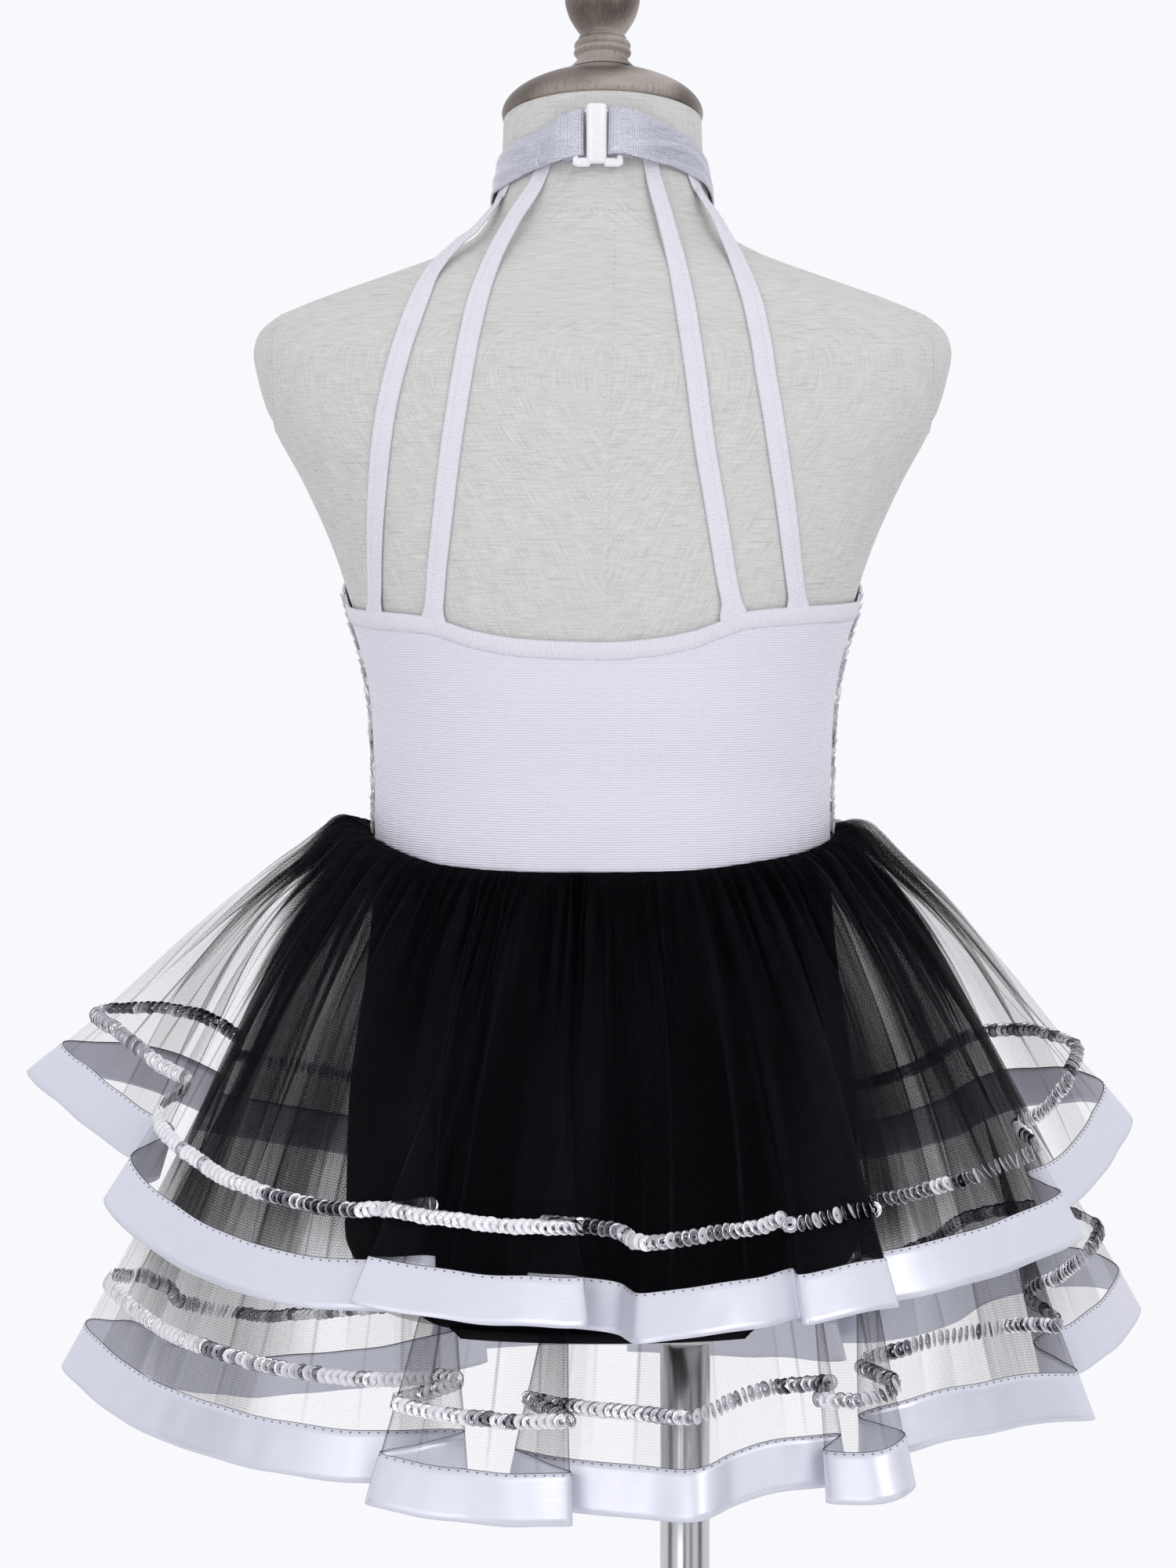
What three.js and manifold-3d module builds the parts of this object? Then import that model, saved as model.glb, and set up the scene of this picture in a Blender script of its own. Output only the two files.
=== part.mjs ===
// Ballet tutu dress on a limbless dress form with a stand.
// Millimetres, +Z up. The origin is the centre of the stand base's underside.
// The back of the dress faces -Y and the front of the dress faces +Y.
import * as THREE from 'three';
import { mergeVertices } from 'three/addons/utils/BufferGeometryUtils.js';
import Module from 'manifold-3d';

const wasm = await Module();
wasm.setup();

// ---------------------------------------------------------------- sizes
const FORM_OFFSET = -35;        // the form's centre line lies beside the pole
const GAP = 0.3;                // clearance between touching pieces
const CLOTH = 1.2;              // wall of the bodice, brief and tulle
const BINDING = 1.8;            // folded binding and strap elastic
const BINDING_HEIGHT = 6.2;
const STRAP_WIDTH = 7.7;
const EASE = 1.0;               // cloth stands this far off the form
const RIBBON = 20;              // width of the satin ribbon on each hem
const RIBBON_WALL = 1.4;
const NECK_TILT = THREE.MathUtils.degToRad(13);
const NECK_TOP = 948;
const FORM_FLOOR = 454;
const SIDE_SEAM = 82;           // degrees from the centre back
const POLE_R = 10.5;
const BASE_R = 150;
const BASE_H = 8;
const RAD = Math.PI / 180;

const table = (columns, rows) => rows.map((row) => Object.fromEntries(columns.map((c, k) => [c, row[k]])));

// The form: one row for each level; a is the half width, b the half depth,
// cy the centre's depth and n the power of the oval.
const TORSO = table(['z', 'a', 'b', 'cy', 'n'], [
  [454, 88, 68, -3, 2.25], [456, 95, 76, -3, 2.25], [461, 100.5, 82.5, -3, 2.3], [470, 104, 85, -4, 2.3], [484, 105.5, 87, -4, 2.3],
  [507, 105, 88, -5, 2.3], [540, 104, 87, -5, 2.3], [570, 100.5, 84, -4, 2.25], [597, 96.5, 79.5, -2, 2.2],
  [625, 94, 75.5, 0, 2.2], [651, 93.2, 73.5, 1, 2.2], [673, 93.2, 73.5, 1, 2.2], [699, 94, 75, 1, 2.25],
  [719, 96.5, 77, 2, 2.3], [748, 104.5, 79, 3, 2.35], [771, 112, 77, 3, 2.4], [797, 123.5, 72, 3, 2.5],
  [823, 137, 66.5, 2, 2.6], [840, 142.5, 62.5, 2, 2.7], [852, 144.6, 59, 1, 2.7], [859, 143, 57, 1, 2.6],
  [866, 136.5, 55.5, 0, 2.5], [873.5, 120, 54, 0, 2.4], [880, 102, 53, 0, 2.3], [887, 82, 51.5, 0, 2.2],
  [893, 66, 49.5, 0, 2.1], [901, 52, 46.8, 0, 2.0], [912, 45, 43.8, 0, 2.0], [926, 42.3, 42, 0, 2.0],
  [938, 41.3, 41.3, 1, 2.0], [948, 41, 41, 2, 2.0],
]);

// Angles run from the centre back, positive towards +X.
const WAIST_SEAM = table(['angle', 'z'], [
  [-180, 646], [-90, 651], [-69, 650], [-54, 647], [-40, 644], [-18, 642.6], [18, 643], [42, 646], [61, 648.5], [90, 651], [180, 646],
]);
const BACK_EDGE = table(['angle', 'z'], [
  [-90, 752], [-75, 747.3], [-54, 746.1], [-41, 744.8], [-28, 738.6], [-17, 735.7], [0, 734.6], [11, 736], [20, 739], [27, 743.6],
  [33, 747], [48, 748.6], [75, 749.6], [90, 752],
]);
// Front armhole: the halter panel's half width at each height.
const ARMHOLE = table(['z', 'x'], [
  [752, 104], [765, 97], [785, 87], [810, 75], [840, 62], [870, 51], [895, 41],
]);

// Straps, from the collar down to the back binding.
const STRAPS = {
  strap_outer_left: table(['z', 'x'], [
    [912.9, -44.2], [906, -49.5], [898, -57.1], [888, -66.3], [881.5, -70.7], [872, -74.6], [856.5, -80.2], [841, -84.7], [825.5, -88.1], [810, -90.3], [794, -91.9], [779, -93], [763, -93.5], [747.5, -93.3],
  ]),
  strap_inner_left: table(['z', 'x'], [
    [917.3, -27.1], [904, -37.2], [888, -45.1], [872, -50.6], [856.5, -54.1], [841, -56.9], [825.5, -59.4], [810, -61.7], [794, -63.7], [778.5, -65.5], [763, -67.3], [745.6, -68.5],
  ]),
  strap_inner_right: table(['z', 'x'], [
    [919, 20.9], [903.5, 26], [888, 29.8], [872.5, 32.8], [856.5, 35.3], [841, 37.5], [825, 39.4], [809.5, 41.6], [794, 44.3], [778.5, 46.9], [763, 49.4], [748.5, 52.1],
  ]),
  strap_outer_right: table(['z', 'x'], [
    [916, 40.1], [912.5, 42.7], [905, 47.8], [896.5, 51.4], [888, 54.9], [872, 60.3], [856.5, 63.6], [841, 65.9], [825.5, 68.6], [810, 70.9], [794, 73.4], [778.5, 75.5], [763, 77.5], [750.6, 78.8],
  ]),
};
// The collar band's edges, level by level round the neck.
const COLLAR = table(['angle', 'low', 'high'], [
  [-180, 904, 920], [-130, 908, 923], [-90, 914, 928.5], [-62, 917.5, 931.6], [-40, 920.2, 933.4], [-21, 922, 936.6], [-8, 923.5, 939.4],
  [8, 923.7, 939.5], [19, 922.6, 938], [42, 921.4, 935], [60, 919.5, 932], [90, 914, 927.5], [130, 908, 922], [180, 904, 920],
]);

// Skirt tiers: one row for each panel between folds, going round from the
// wearer's left side over the back. from/to are hem angles; reach is the hem's
// distance from the form's centre line and rise its height, at the panel's
// start, middle and end. Where a panel starts before the last one ended, the
// cloth doubles back under itself as a pleat.
const PANEL = ['from', 'to', 'reach0', 'reach1', 'reach2', 'rise0', 'rise1', 'rise2'];
const TIER_1 = table(PANEL, [
  [-98, -76, 248, 213, 187, 547, 528, 515],
  [-71, -22, 213, 197, 171, 509, 484, 482],
  [-29, -2, 199, 194, 181, 487, 482, 479],
  [-12, 2, 165, 162, 168, 477, 475, 473.5],
  [4, 24, 183, 189, 185, 473, 477, 480],
  [23.5, 35, 193, 197, 197, 479, 482, 483],
  [34, 66, 182, 198, 211, 481, 488, 497],
  [70, 101, 189, 206, 232, 499, 507, 526],
  [101, 119, 232, 219, 196, 526, 528, 518],
  [119, 150, 196, 198, 184, 518, 497, 486],
  [143, 179, 168, 166, 171, 483, 479, 477],
  [173, 207, 185, 191, 185, 480, 480, 484],
  [200, 243, 168, 186, 202, 482, 496, 514],
  [244, 262, 191, 212, 248, 519, 537, 547],
]);
const TIER_2 = table(PANEL, [
  [-80, -19, 226, 198, 160, 435, 416, 412],
  [-29, -4, 188, 186, 174, 407, 403, 401],
  [-14, 12, 160, 161, 176, 406, 402, 402],
  [12, 33, 176, 169, 176, 402, 409, 410],
  [28, 37, 184, 201, 199, 407, 409, 413],
  [36, 68, 170, 191, 214, 415, 424, 422],
  [72, 101, 189, 215, 236, 428, 437, 444],
  [101, 120, 236, 223, 197, 444, 446, 434],
  [120, 146, 197, 195, 192, 434, 413, 404],
  [140, 176, 172, 167, 172, 402, 399, 398],
  [170, 205, 187, 192, 187, 398, 397, 397],
  [198, 251, 168, 189, 204, 396, 386, 404],
  [251, 280, 204, 201, 226, 404, 422, 435],
]);
const STEPS = 4;                // stretches across each panel
const BULGE_SIDE = 17;          // how far the tulle bows out over the hips
const BULGE_BACK = 4;
const FOLD_START = 0.3;         // share of the length above which the tulle is only gathered

// ---------------------------------------------------------------- curves
function read(rows, key, value, at) {
  const n = rows.length;
  if (at <= rows[0][key]) return rows[0][value];
  if (at >= rows[n - 1][key]) return rows[n - 1][value];
  let i = 0;
  while (rows[i + 1][key] < at) i++;
  const rise = (k) => (rows[k + 1][value] - rows[k][value]) / (rows[k + 1][key] - rows[k][key]);
  const slope = (k) => {
    if (k <= 0) return rise(0);
    if (k >= n - 1) return rise(n - 2);
    const p = rise(k - 1), q = rise(k);
    return p * q <= 0 ? 0 : (2 * p * q) / (p + q);
  };
  const h = rows[i + 1][key] - rows[i][key], t = (at - rows[i][key]) / h;
  return (2 * t ** 3 - 3 * t * t + 1) * rows[i][value] + (t ** 3 - 2 * t * t + t) * h * slope(i)
    + (-2 * t ** 3 + 3 * t * t) * rows[i + 1][value] + (t ** 3 - t * t) * h * slope(i + 1);
}
const ramp = (v, a, b) => THREE.MathUtils.smoothstep(v, a, b);
const wrap = (p) => (p > Math.PI ? p - 2 * Math.PI : p);

function torso(z, phi) {
  const a = read(TORSO, 'z', 'a', z), b = read(TORSO, 'z', 'b', z), cy = read(TORSO, 'z', 'cy', z), n = read(TORSO, 'z', 'n', z);
  const s = Math.sin(phi), c = Math.cos(phi);
  const k = (Math.abs(s) ** n + Math.abs(c) ** n) ** (-1 / n);
  const x = a * s * k, y = cy - b * c * k;
  return new THREE.Vector3(x, y, z - y * Math.tan(NECK_TILT) * ramp(z, 895, 940));
}
function skinNormal(z, phi) {
  const e = 0.02;
  const along = torso(z, phi + e).sub(torso(z, phi - e));
  const up = torso(Math.min(z + 1, NECK_TOP), phi).sub(torso(Math.max(z - 1, FORM_FLOOR), phi));
  return along.cross(up).normalize();
}
const skin = (z, phi, out = 0) => torso(z, phi).addScaledVector(skinNormal(z, phi), out);
function angleAt(z, x, out = 0) {
  let lo = -Math.PI / 2, hi = Math.PI / 2;
  for (let k = 0; k < 40; k++) {
    const m = (lo + hi) / 2;
    if (skin(z, m, out).x < x) lo = m; else hi = m;
  }
  return lo;
}

// ---------------------------------------------------------------- solids
function close(positions, quads, tris = []) {
  const index = [];
  for (const [a, b, c, d] of quads) index.push(a, b, c, a, c, d);
  for (const t of tris) index.push(...t);
  let volume = 0;
  const v = (i) => positions[i];
  for (let i = 0; i < index.length; i += 3) {
    volume += v(index[i]).dot(new THREE.Vector3().crossVectors(v(index[i + 1]), v(index[i + 2])));
  }
  if (volume < 0) for (let i = 0; i < index.length; i += 3) [index[i + 1], index[i + 2]] = [index[i + 2], index[i + 1]];
  const g = new THREE.BufferGeometry();
  g.setAttribute('position', new THREE.Float32BufferAttribute(positions.flatMap((p) => [p.x, p.y, p.z]), 3));
  g.setIndex(index);
  return g;
}

// A wall between two grids of points [row][column].
function wall(outer, inner, round) {
  const rows = outer.length, cols = outer[0].length, last = round ? cols : cols - 1;
  const positions = [...outer.flat(), ...inner.flat()];
  const o = (j, i) => j * cols + (i % cols), n = (j, i) => rows * cols + j * cols + (i % cols);
  const quads = [];
  for (let j = 0; j < rows - 1; j++) {
    for (let i = 0; i < last; i++) {
      quads.push([o(j, i), o(j, i + 1), o(j + 1, i + 1), o(j + 1, i)]);
      quads.push([n(j + 1, i), n(j + 1, i + 1), n(j, i + 1), n(j, i)]);
    }
    if (!round) {
      quads.push([o(j, 0), o(j + 1, 0), n(j + 1, 0), n(j, 0)]);
      quads.push([o(j + 1, last), o(j, last), n(j, last), n(j + 1, last)]);
    }
  }
  for (let i = 0; i < last; i++) {
    quads.push([o(0, i + 1), o(0, i), n(0, i), n(0, i + 1)]);
    quads.push([o(rows - 1, i), o(rows - 1, i + 1), n(rows - 1, i + 1), n(rows - 1, i)]);
  }
  return close(positions, quads);
}

// A wall of one thickness about a grid of middle points.
function sheet(mid, thick, round) {
  const rows = mid.length, cols = mid[0].length;
  const side = (sign) => mid.map((row, j) => row.map((p, i) => {
    const before = round ? row[(i + cols - 1) % cols] : row[Math.max(i - 1, 0)];
    const after = round ? row[(i + 1) % cols] : row[Math.min(i + 1, cols - 1)];
    const across = after.clone().sub(before);
    const down = mid[Math.min(j + 1, rows - 1)][i].clone().sub(mid[Math.max(j - 1, 0)][i]);
    return p.clone().addScaledVector(across.cross(down).normalize(), (sign * thick) / 2);
  }));
  return wall(side(1), side(-1), round);
}

// A closed loft through rings of equal count.
function loft(rings) {
  const n = rings[0].length, positions = rings.flat(), quads = [], tris = [];
  for (let j = 0; j < rings.length - 1; j++) {
    for (let i = 0; i < n; i++) {
      const k = (i + 1) % n;
      quads.push([j * n + i, j * n + k, (j + 1) * n + k, (j + 1) * n + i]);
    }
  }
  const centre = (ring) => ring.reduce((s, p) => s.add(p), new THREE.Vector3()).divideScalar(n);
  const low = positions.push(centre(rings[0])) - 1, high = positions.push(centre(rings[rings.length - 1])) - 1;
  const top = (rings.length - 1) * n;
  for (let i = 0; i < n; i++) {
    const k = (i + 1) % n;
    tris.push([low, k, i], [high, top + i, top + k]);
  }
  return close(positions, quads, tris);
}

function solid(geometry) {
  const g = geometry.clone();
  g.deleteAttribute('normal');
  g.deleteAttribute('uv');
  const m = mergeVertices(g, 1e-4);
  return new wasm.Manifold(new wasm.Mesh({ numProp: 3, vertProperties: new Float32Array(m.attributes.position.array), triVerts: new Uint32Array(m.index.array) }));
}
function fromSolid(body) {
  const mesh = body.getMesh(), g = new THREE.BufferGeometry();
  g.setAttribute('position', new THREE.Float32BufferAttribute(Array.from(mesh.vertProperties), 3));
  g.setIndex(Array.from(mesh.triVerts));
  return g;
}

const group = new THREE.Group();
const dress = new THREE.Group();
dress.position.set(FORM_OFFSET, 0, 0);
group.add(dress);
function add(parent, name, geometry, color, roughness, metalness = 0) {
  const mesh = new THREE.Mesh(geometry, new THREE.MeshStandardMaterial({ color, roughness, metalness }));
  mesh.name = name;
  parent.add(mesh);
  return mesh;
}
const range = (from, to, count) => Array.from({ length: count + 1 }, (_, k) => from + ((to - from) * k) / count);

// ---------------------------------------------------------------- dress form
const FORM_SIDES = 48;
const formLevels = [454, 456, 461, 470, 484, 507, 540, 570, 597, 625, 651, 673, 699, 719, 748, 771, 797, 812, 827, 840, 852, 859, 866, 873.5, 880, 887, 893, 901, 908, 917, 928, 938, 948];
add(dress, 'form_torso', loft(formLevels.map((z) => Array.from({ length: FORM_SIDES }, (_, i) => torso(z, (i / FORM_SIDES) * 2 * Math.PI)))), 0xc6c5bc, 0.9);

// Turned wooden cap and finial, square to the tilted neck.
const head = new THREE.Group();
head.position.set(0, 2, NECK_TOP - 2 * Math.tan(NECK_TILT));
head.rotation.x = -NECK_TILT;
dress.add(head);
const turned = (profile, sides) => new THREE.LatheGeometry(profile.map(([r, z]) => new THREE.Vector2(r, z)), sides).rotateX(Math.PI / 2);
add(head, 'neck_cap', turned([[0, 0.4], [39.5, 0.4], [41.3, 1.4], [41.5, 4.5], [40, 8], [36, 11.6], [30, 15], [22, 18.4], [14.3, 20.4], [14.1, 21.4], [0, 21.4]], 40), 0x8a7464, 0.5);
add(head, 'finial', turned([[0, 21.8], [13.6, 21.8], [12.4, 24], [11.2, 27.6], [11.4, 28.2], [11.9, 29.6], [11.2, 31.2], [11.7, 32.8], [11.1, 34.4], [9.6, 34.9], [9.9, 36], [9.2, 37.4], [11.6, 41.5], [14, 46], [15.4, 51], [15.6, 55], [14.6, 61], [12.2, 67], [8.4, 71.8], [4, 74.4], [0, 75]], 32), 0x8a7464, 0.5);

// ---------------------------------------------------------------- bodice
const seamZ = (phi) => read(WAIST_SEAM, 'angle', 'z', phi / RAD);
const backTop = (phi) => read(BACK_EDGE, 'angle', 'z', phi / RAD);
function panelGrid(angles, low, high, steps, out) {
  return steps.map((t) => angles.map((phi) => {
    const a = low(phi), b = high(phi);
    return skin(a + (b - a) * t, phi, out);
  }));
}
const panelWall = (angles, low, high, steps, out, thick) => wall(panelGrid(angles, low, high, steps, out + thick), panelGrid(angles, low, high, steps, out), false);
const seamGap = 0.25 * RAD;
const backAngles = range(-SIDE_SEAM * RAD + seamGap, SIDE_SEAM * RAD - seamGap, 24);
add(dress, 'back_bodice', panelWall(backAngles, seamZ, (p) => backTop(p) - BINDING_HEIGHT - GAP, range(0, 1, 5), EASE, CLOTH), 0xe4e2ee, 0.45);
add(dress, 'back_binding', panelWall(backAngles, (p) => backTop(p) - BINDING_HEIGHT, backTop, [0, 1], EASE, BINDING), 0xf0eef6, 0.55);

// Front halter panel: below the armholes it runs from side seam to side seam,
// above them its edges follow the armhole curve up to the collar.
const aroundNeck = (phi) => { const a = (phi / RAD) % 360; return a < -180 ? a + 360 : a; };
const collarLow = (phi) => read(COLLAR, 'angle', 'low', aroundNeck(phi));
const collarHigh = (phi) => read(COLLAR, 'angle', 'high', aroundNeck(phi));
const armZ = ARMHOLE[0].z;
const frontHalf = (z, inset) => {
  if (z <= armZ) return (180 - SIDE_SEAM) * RAD - seamGap;
  const side = angleAt(z, read(ARMHOLE, 'z', 'x', z) - inset);
  const blend = ramp(z, armZ, armZ + 24);
  return side * blend + ((180 - SIDE_SEAM) * RAD - seamGap) * (1 - blend);
};
const FRONT_TOP = 900.5;
const chestEase = (z) => 1.5 * ramp(z, armZ - 12, armZ + 12);
const frontLevels = [646, 682, 716, 744, 752, 756, 759, 762, 765, 768, 771, 775, 780, 787, 796, 807, 822, 838, 854, 870, 885, FRONT_TOP];
function frontGrid(out, inset) {
  return frontLevels.map((level, j) => range(-1, 1, 20).map((u) => {
    const phi = Math.PI - u * frontHalf(level, inset);
    return skin(j === 0 ? seamZ(wrap(phi)) : level, phi, out + chestEase(level));
  }));
}
add(dress, 'front_bodice', wall(frontGrid(EASE + CLOTH, BINDING_HEIGHT), frontGrid(EASE, BINDING_HEIGHT), false), 0xd8dadf, 0.3, 0.5);
function armholeBinding(sign) {
  const levels = [armZ + 1.5, 756, 759, 762, 765, 768, 771, 775, 780, 787, 796, 807, 822, 838, 854, 870, 885, FRONT_TOP];
  const grid = (out) => levels.map((z) => [0, 1].map((k) => {
    const half = frontHalf(z, BINDING_HEIGHT) + seamGap * 2, edge = frontHalf(z, 0) + seamGap * 2;
    return skin(z, Math.PI + sign * (k ? Math.max(edge, half + 0.035) : half), out + chestEase(z));
  }));
  return wall(grid(EASE + BINDING), grid(EASE), false);
}
add(dress, 'armhole_binding_left', armholeBinding(1), 0xf0eef6, 0.55);
add(dress, 'armhole_binding_right', armholeBinding(-1), 0xf0eef6, 0.55);

// ---------------------------------------------------------------- collar, clasp and straps
// Collar band path in plan: angle from the centre back and distance off the
// neck. Each end turns back round a bar of the clasp.
const BAND = 0.9;
const COLLAR_PATH = table(['angle', 'out'], [
  [-22, 2.1], [-17, 2.1], [-13, 2.3], [-11.2, 3.4], [-10.6, 4.8], [-11, 6.2], [-13, 7.3], [-17, 7.6], [-22, 7.0], [-28, 5.0], [-35, 3.0], [-43, 1.9],
  [-60, 1.7], [-80, 1.6], [-100, 1.6], [-120, 1.6], [-140, 1.6], [-160, 1.6], [-180, 1.6], [-200, 1.6], [-220, 1.6], [-240, 1.6], [-260, 1.6], [-280, 1.6], [-300, 1.7],
  [-315, 1.9], [-324, 2.7], [-332, 4.5], [-339, 6.9], [-345, 8.3], [-350, 8.6], [-353.6, 8.3], [-355.6, 7.1], [-356.1, 5.5], [-355.6, 3.8], [-353.4, 2.4], [-349, 2.1], [-344, 2.1],
]);
const collarGrid = [collarHigh, collarLow].map((level) => COLLAR_PATH.map(({ angle, out }) => skin(level(angle * RAD), angle * RAD, out)));
add(dress, 'collar_band', sheet(collarGrid, BAND, false), 0xc9c6d6, 0.35, 0.4);

const slab = (x0, x1, y0, y1, z0, z1) => new THREE.BoxGeometry(x1 - x0, y1 - y0, z1 - z0).translate((x0 + x1) / 2, (y0 + y1) / 2, (z0 + z1) / 2);
const join = (...parts) => fromSolid(parts.map(solid).reduce((a, b) => a.add(b)));
add(dress, 'clasp_hook', join(
  slab(-6.7, 1.6, -49.4, -45.8, 927.4, 950.9), slab(1, 7.6, -47, -45.8, 926.2, 928.6), slab(1, 7.6, -47, -45.8, 950.1, 951.7), slab(5.6, 7.6, -47, -45.8, 926.6, 950.8),
), 0xf4f4f8, 0.3);
add(dress, 'clasp_eye', join(
  slab(-4.4, -1.8, -45.5, -44.5, 928, 950.8), slab(-12.6, -1.8, -45.5, -44.5, 926.4, 929.2), slab(-12.6, -1.8, -45.5, -44.5, 949.4, 951.2), slab(-12.6, -10.8, -45.5, -44.5, 926.8, 950.8),
), 0xf4f4f8, 0.3);

// The straps are taut: each leaves the form below the collar and runs straight
// to the shoulder, then lies on the back.
const STRAP_FOOT = 879;
for (const [name, rows] of Object.entries(STRAPS)) {
  const top = rows[0].z, end = rows[rows.length - 1].z;
  const falling = rows.map((r) => ({ z: -r.z, x: r.x }));
  const share = (t) => (t < 0.25 ? top + (STRAP_FOOT - top) * t * 4 : STRAP_FOOT + ((end - STRAP_FOOT) * (t - 0.25)) / 0.75);
  const stations = range(0, 1, 20).map((t) => {
    const z = share(t), phi = angleAt(z, read(falling, 'z', 'x', -z), EASE + 1);
    return { z, at: skin(z, phi, EASE), out: skinNormal(z, phi) };
  });
  const head = stations[0], foot = stations.find((s) => s.z <= STRAP_FOOT + 0.001);
  for (const s of stations) {
    if (s.z < STRAP_FOOT) continue;
    const u = Math.min((top - s.z) / (top - foot.z), 1);
    s.at.y = head.at.y + (foot.at.y - head.at.y) * u;
    s.out = head.out.clone().lerp(foot.out, u).normalize();
  }
  const grid = [-1, 1].map((sign) => stations.map((s, i) => {
    const along = stations[Math.min(i + 1, stations.length - 1)].at.clone().sub(stations[Math.max(i - 1, 0)].at).normalize();
    const across = along.clone().cross(s.out).normalize();
    return s.at.clone().addScaledVector(across, (sign * STRAP_WIDTH) / 2);
  }));
  const lift = (out) => grid.map((row) => row.map((p, i) => p.clone().addScaledVector(stations[i].out, out)));
  add(dress, name, wall(lift(0.3 + 1.4), lift(0.3), false), 0xf0eef6, 0.55);
}

// ---------------------------------------------------------------- brief
// Leg openings: the height of the brief's lower edge against the distance from
// the centre line; the gusset carries on under the form.
const LEG = table(['x', 'z'], [[0, 458.9], [66, 458.9], [76, 463], [88, 470.5], [97, 478.5], [106, 487], [120, 489]]);
const legZ = (phi) => {
  const x = Math.abs(torso(466, phi).x);
  return x < 66 ? 458.9 : read(LEG, 'x', 'z', x);
};
const BRIEF_STEPS = [0, 0.0115, 0.06, 0.13, 0.26, 0.42, 0.58, 0.78, 1];
const frontAngles = range(SIDE_SEAM * RAD + seamGap, (360 - SIDE_SEAM) * RAD - seamGap, 26);
const underSeam = (p) => seamZ(wrap(p)) - GAP;
add(dress, 'brief_back', panelWall(backAngles, legZ, underSeam, BRIEF_STEPS, EASE, CLOTH), 0x0b0b0f, 0.9);
add(dress, 'brief_front', panelWall(frontAngles, legZ, underSeam, BRIEF_STEPS, EASE, CLOTH), 0x0b0b0f, 0.9);
const GUSSET = table(['along', 'half'], [[0, 62], [0.1, 52], [0.25, 32], [0.4, 20], [0.6, 20], [0.78, 30], [0.92, 44], [1, 50]]);
const gussetRows = [0, 0.04, 0.09, 0.2, 0.32, 0.44, 0.56, 0.68, 0.8, 0.91, 0.96, 1];
const gusset = gussetRows.map((s, j) => range(-1, 1, 8).map((u) => {
  const x = u * read(GUSSET, 'along', 'half', s);
  const phi = angleAt(460, x);
  const back = torso(460, phi).y, front = torso(460, Math.PI - phi).y, mid = EASE + CLOTH / 2;
  const edge = Math.min(j, gussetRows.length - 1 - j);
  const rise = [457.1, 454.2, 452.4][edge] ?? 452.4;
  const inset = [-mid, -mid * 0.4, 5][edge];
  const y = inset === undefined ? back + (front - back) * s : j < 3 ? back + inset : front - inset;
  return new THREE.Vector3(x, y, rise);
}));
add(dress, 'brief_gusset', sheet(gusset, CLOTH, false), 0x0b0b0f, 0.9);

// ---------------------------------------------------------------- skirt
function hemPoints(rows) {
  const points = [];
  rows.forEach((row, k) => {
    const before = rows[(k + rows.length - 1) % rows.length];
    const from = row.from + (k === 0 ? 360 : 0);
    const joined = Math.abs(before.to - from) < 1 && Math.abs(before.reach2 - row.reach0) < 1;
    range(0, 1, STEPS).forEach((s, i) => {
      if (i === 0 && joined) return;
      const mix = (a, b, c) => a * (1 - s) * (1 - 2 * s) + b * 4 * s * (1 - s) + c * s * (2 * s - 1);
      points.push({ angle: row.from + (row.to - row.from) * s, reach: mix(row.reach0, row.reach1, row.reach2), rise: mix(row.rise0, row.rise1, row.rise2) });
    });
    const next = rows[(k + 1) % rows.length];
    const start = next.from + (k === rows.length - 1 ? 360 : 0);
    if (Math.abs(row.to - start) >= 1 || Math.abs(row.reach2 - next.reach0) >= 1) {
      points.push({ angle: (row.to + start) / 2, reach: (row.reach2 + next.reach0) / 2, rise: (row.rise2 + next.rise0) / 2 });
    }
  });
  return points;
}
const polar = (p) => new THREE.Vector3(p.reach * Math.sin(p.angle * RAD), -p.reach * Math.cos(p.angle * RAD), p.rise);
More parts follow.
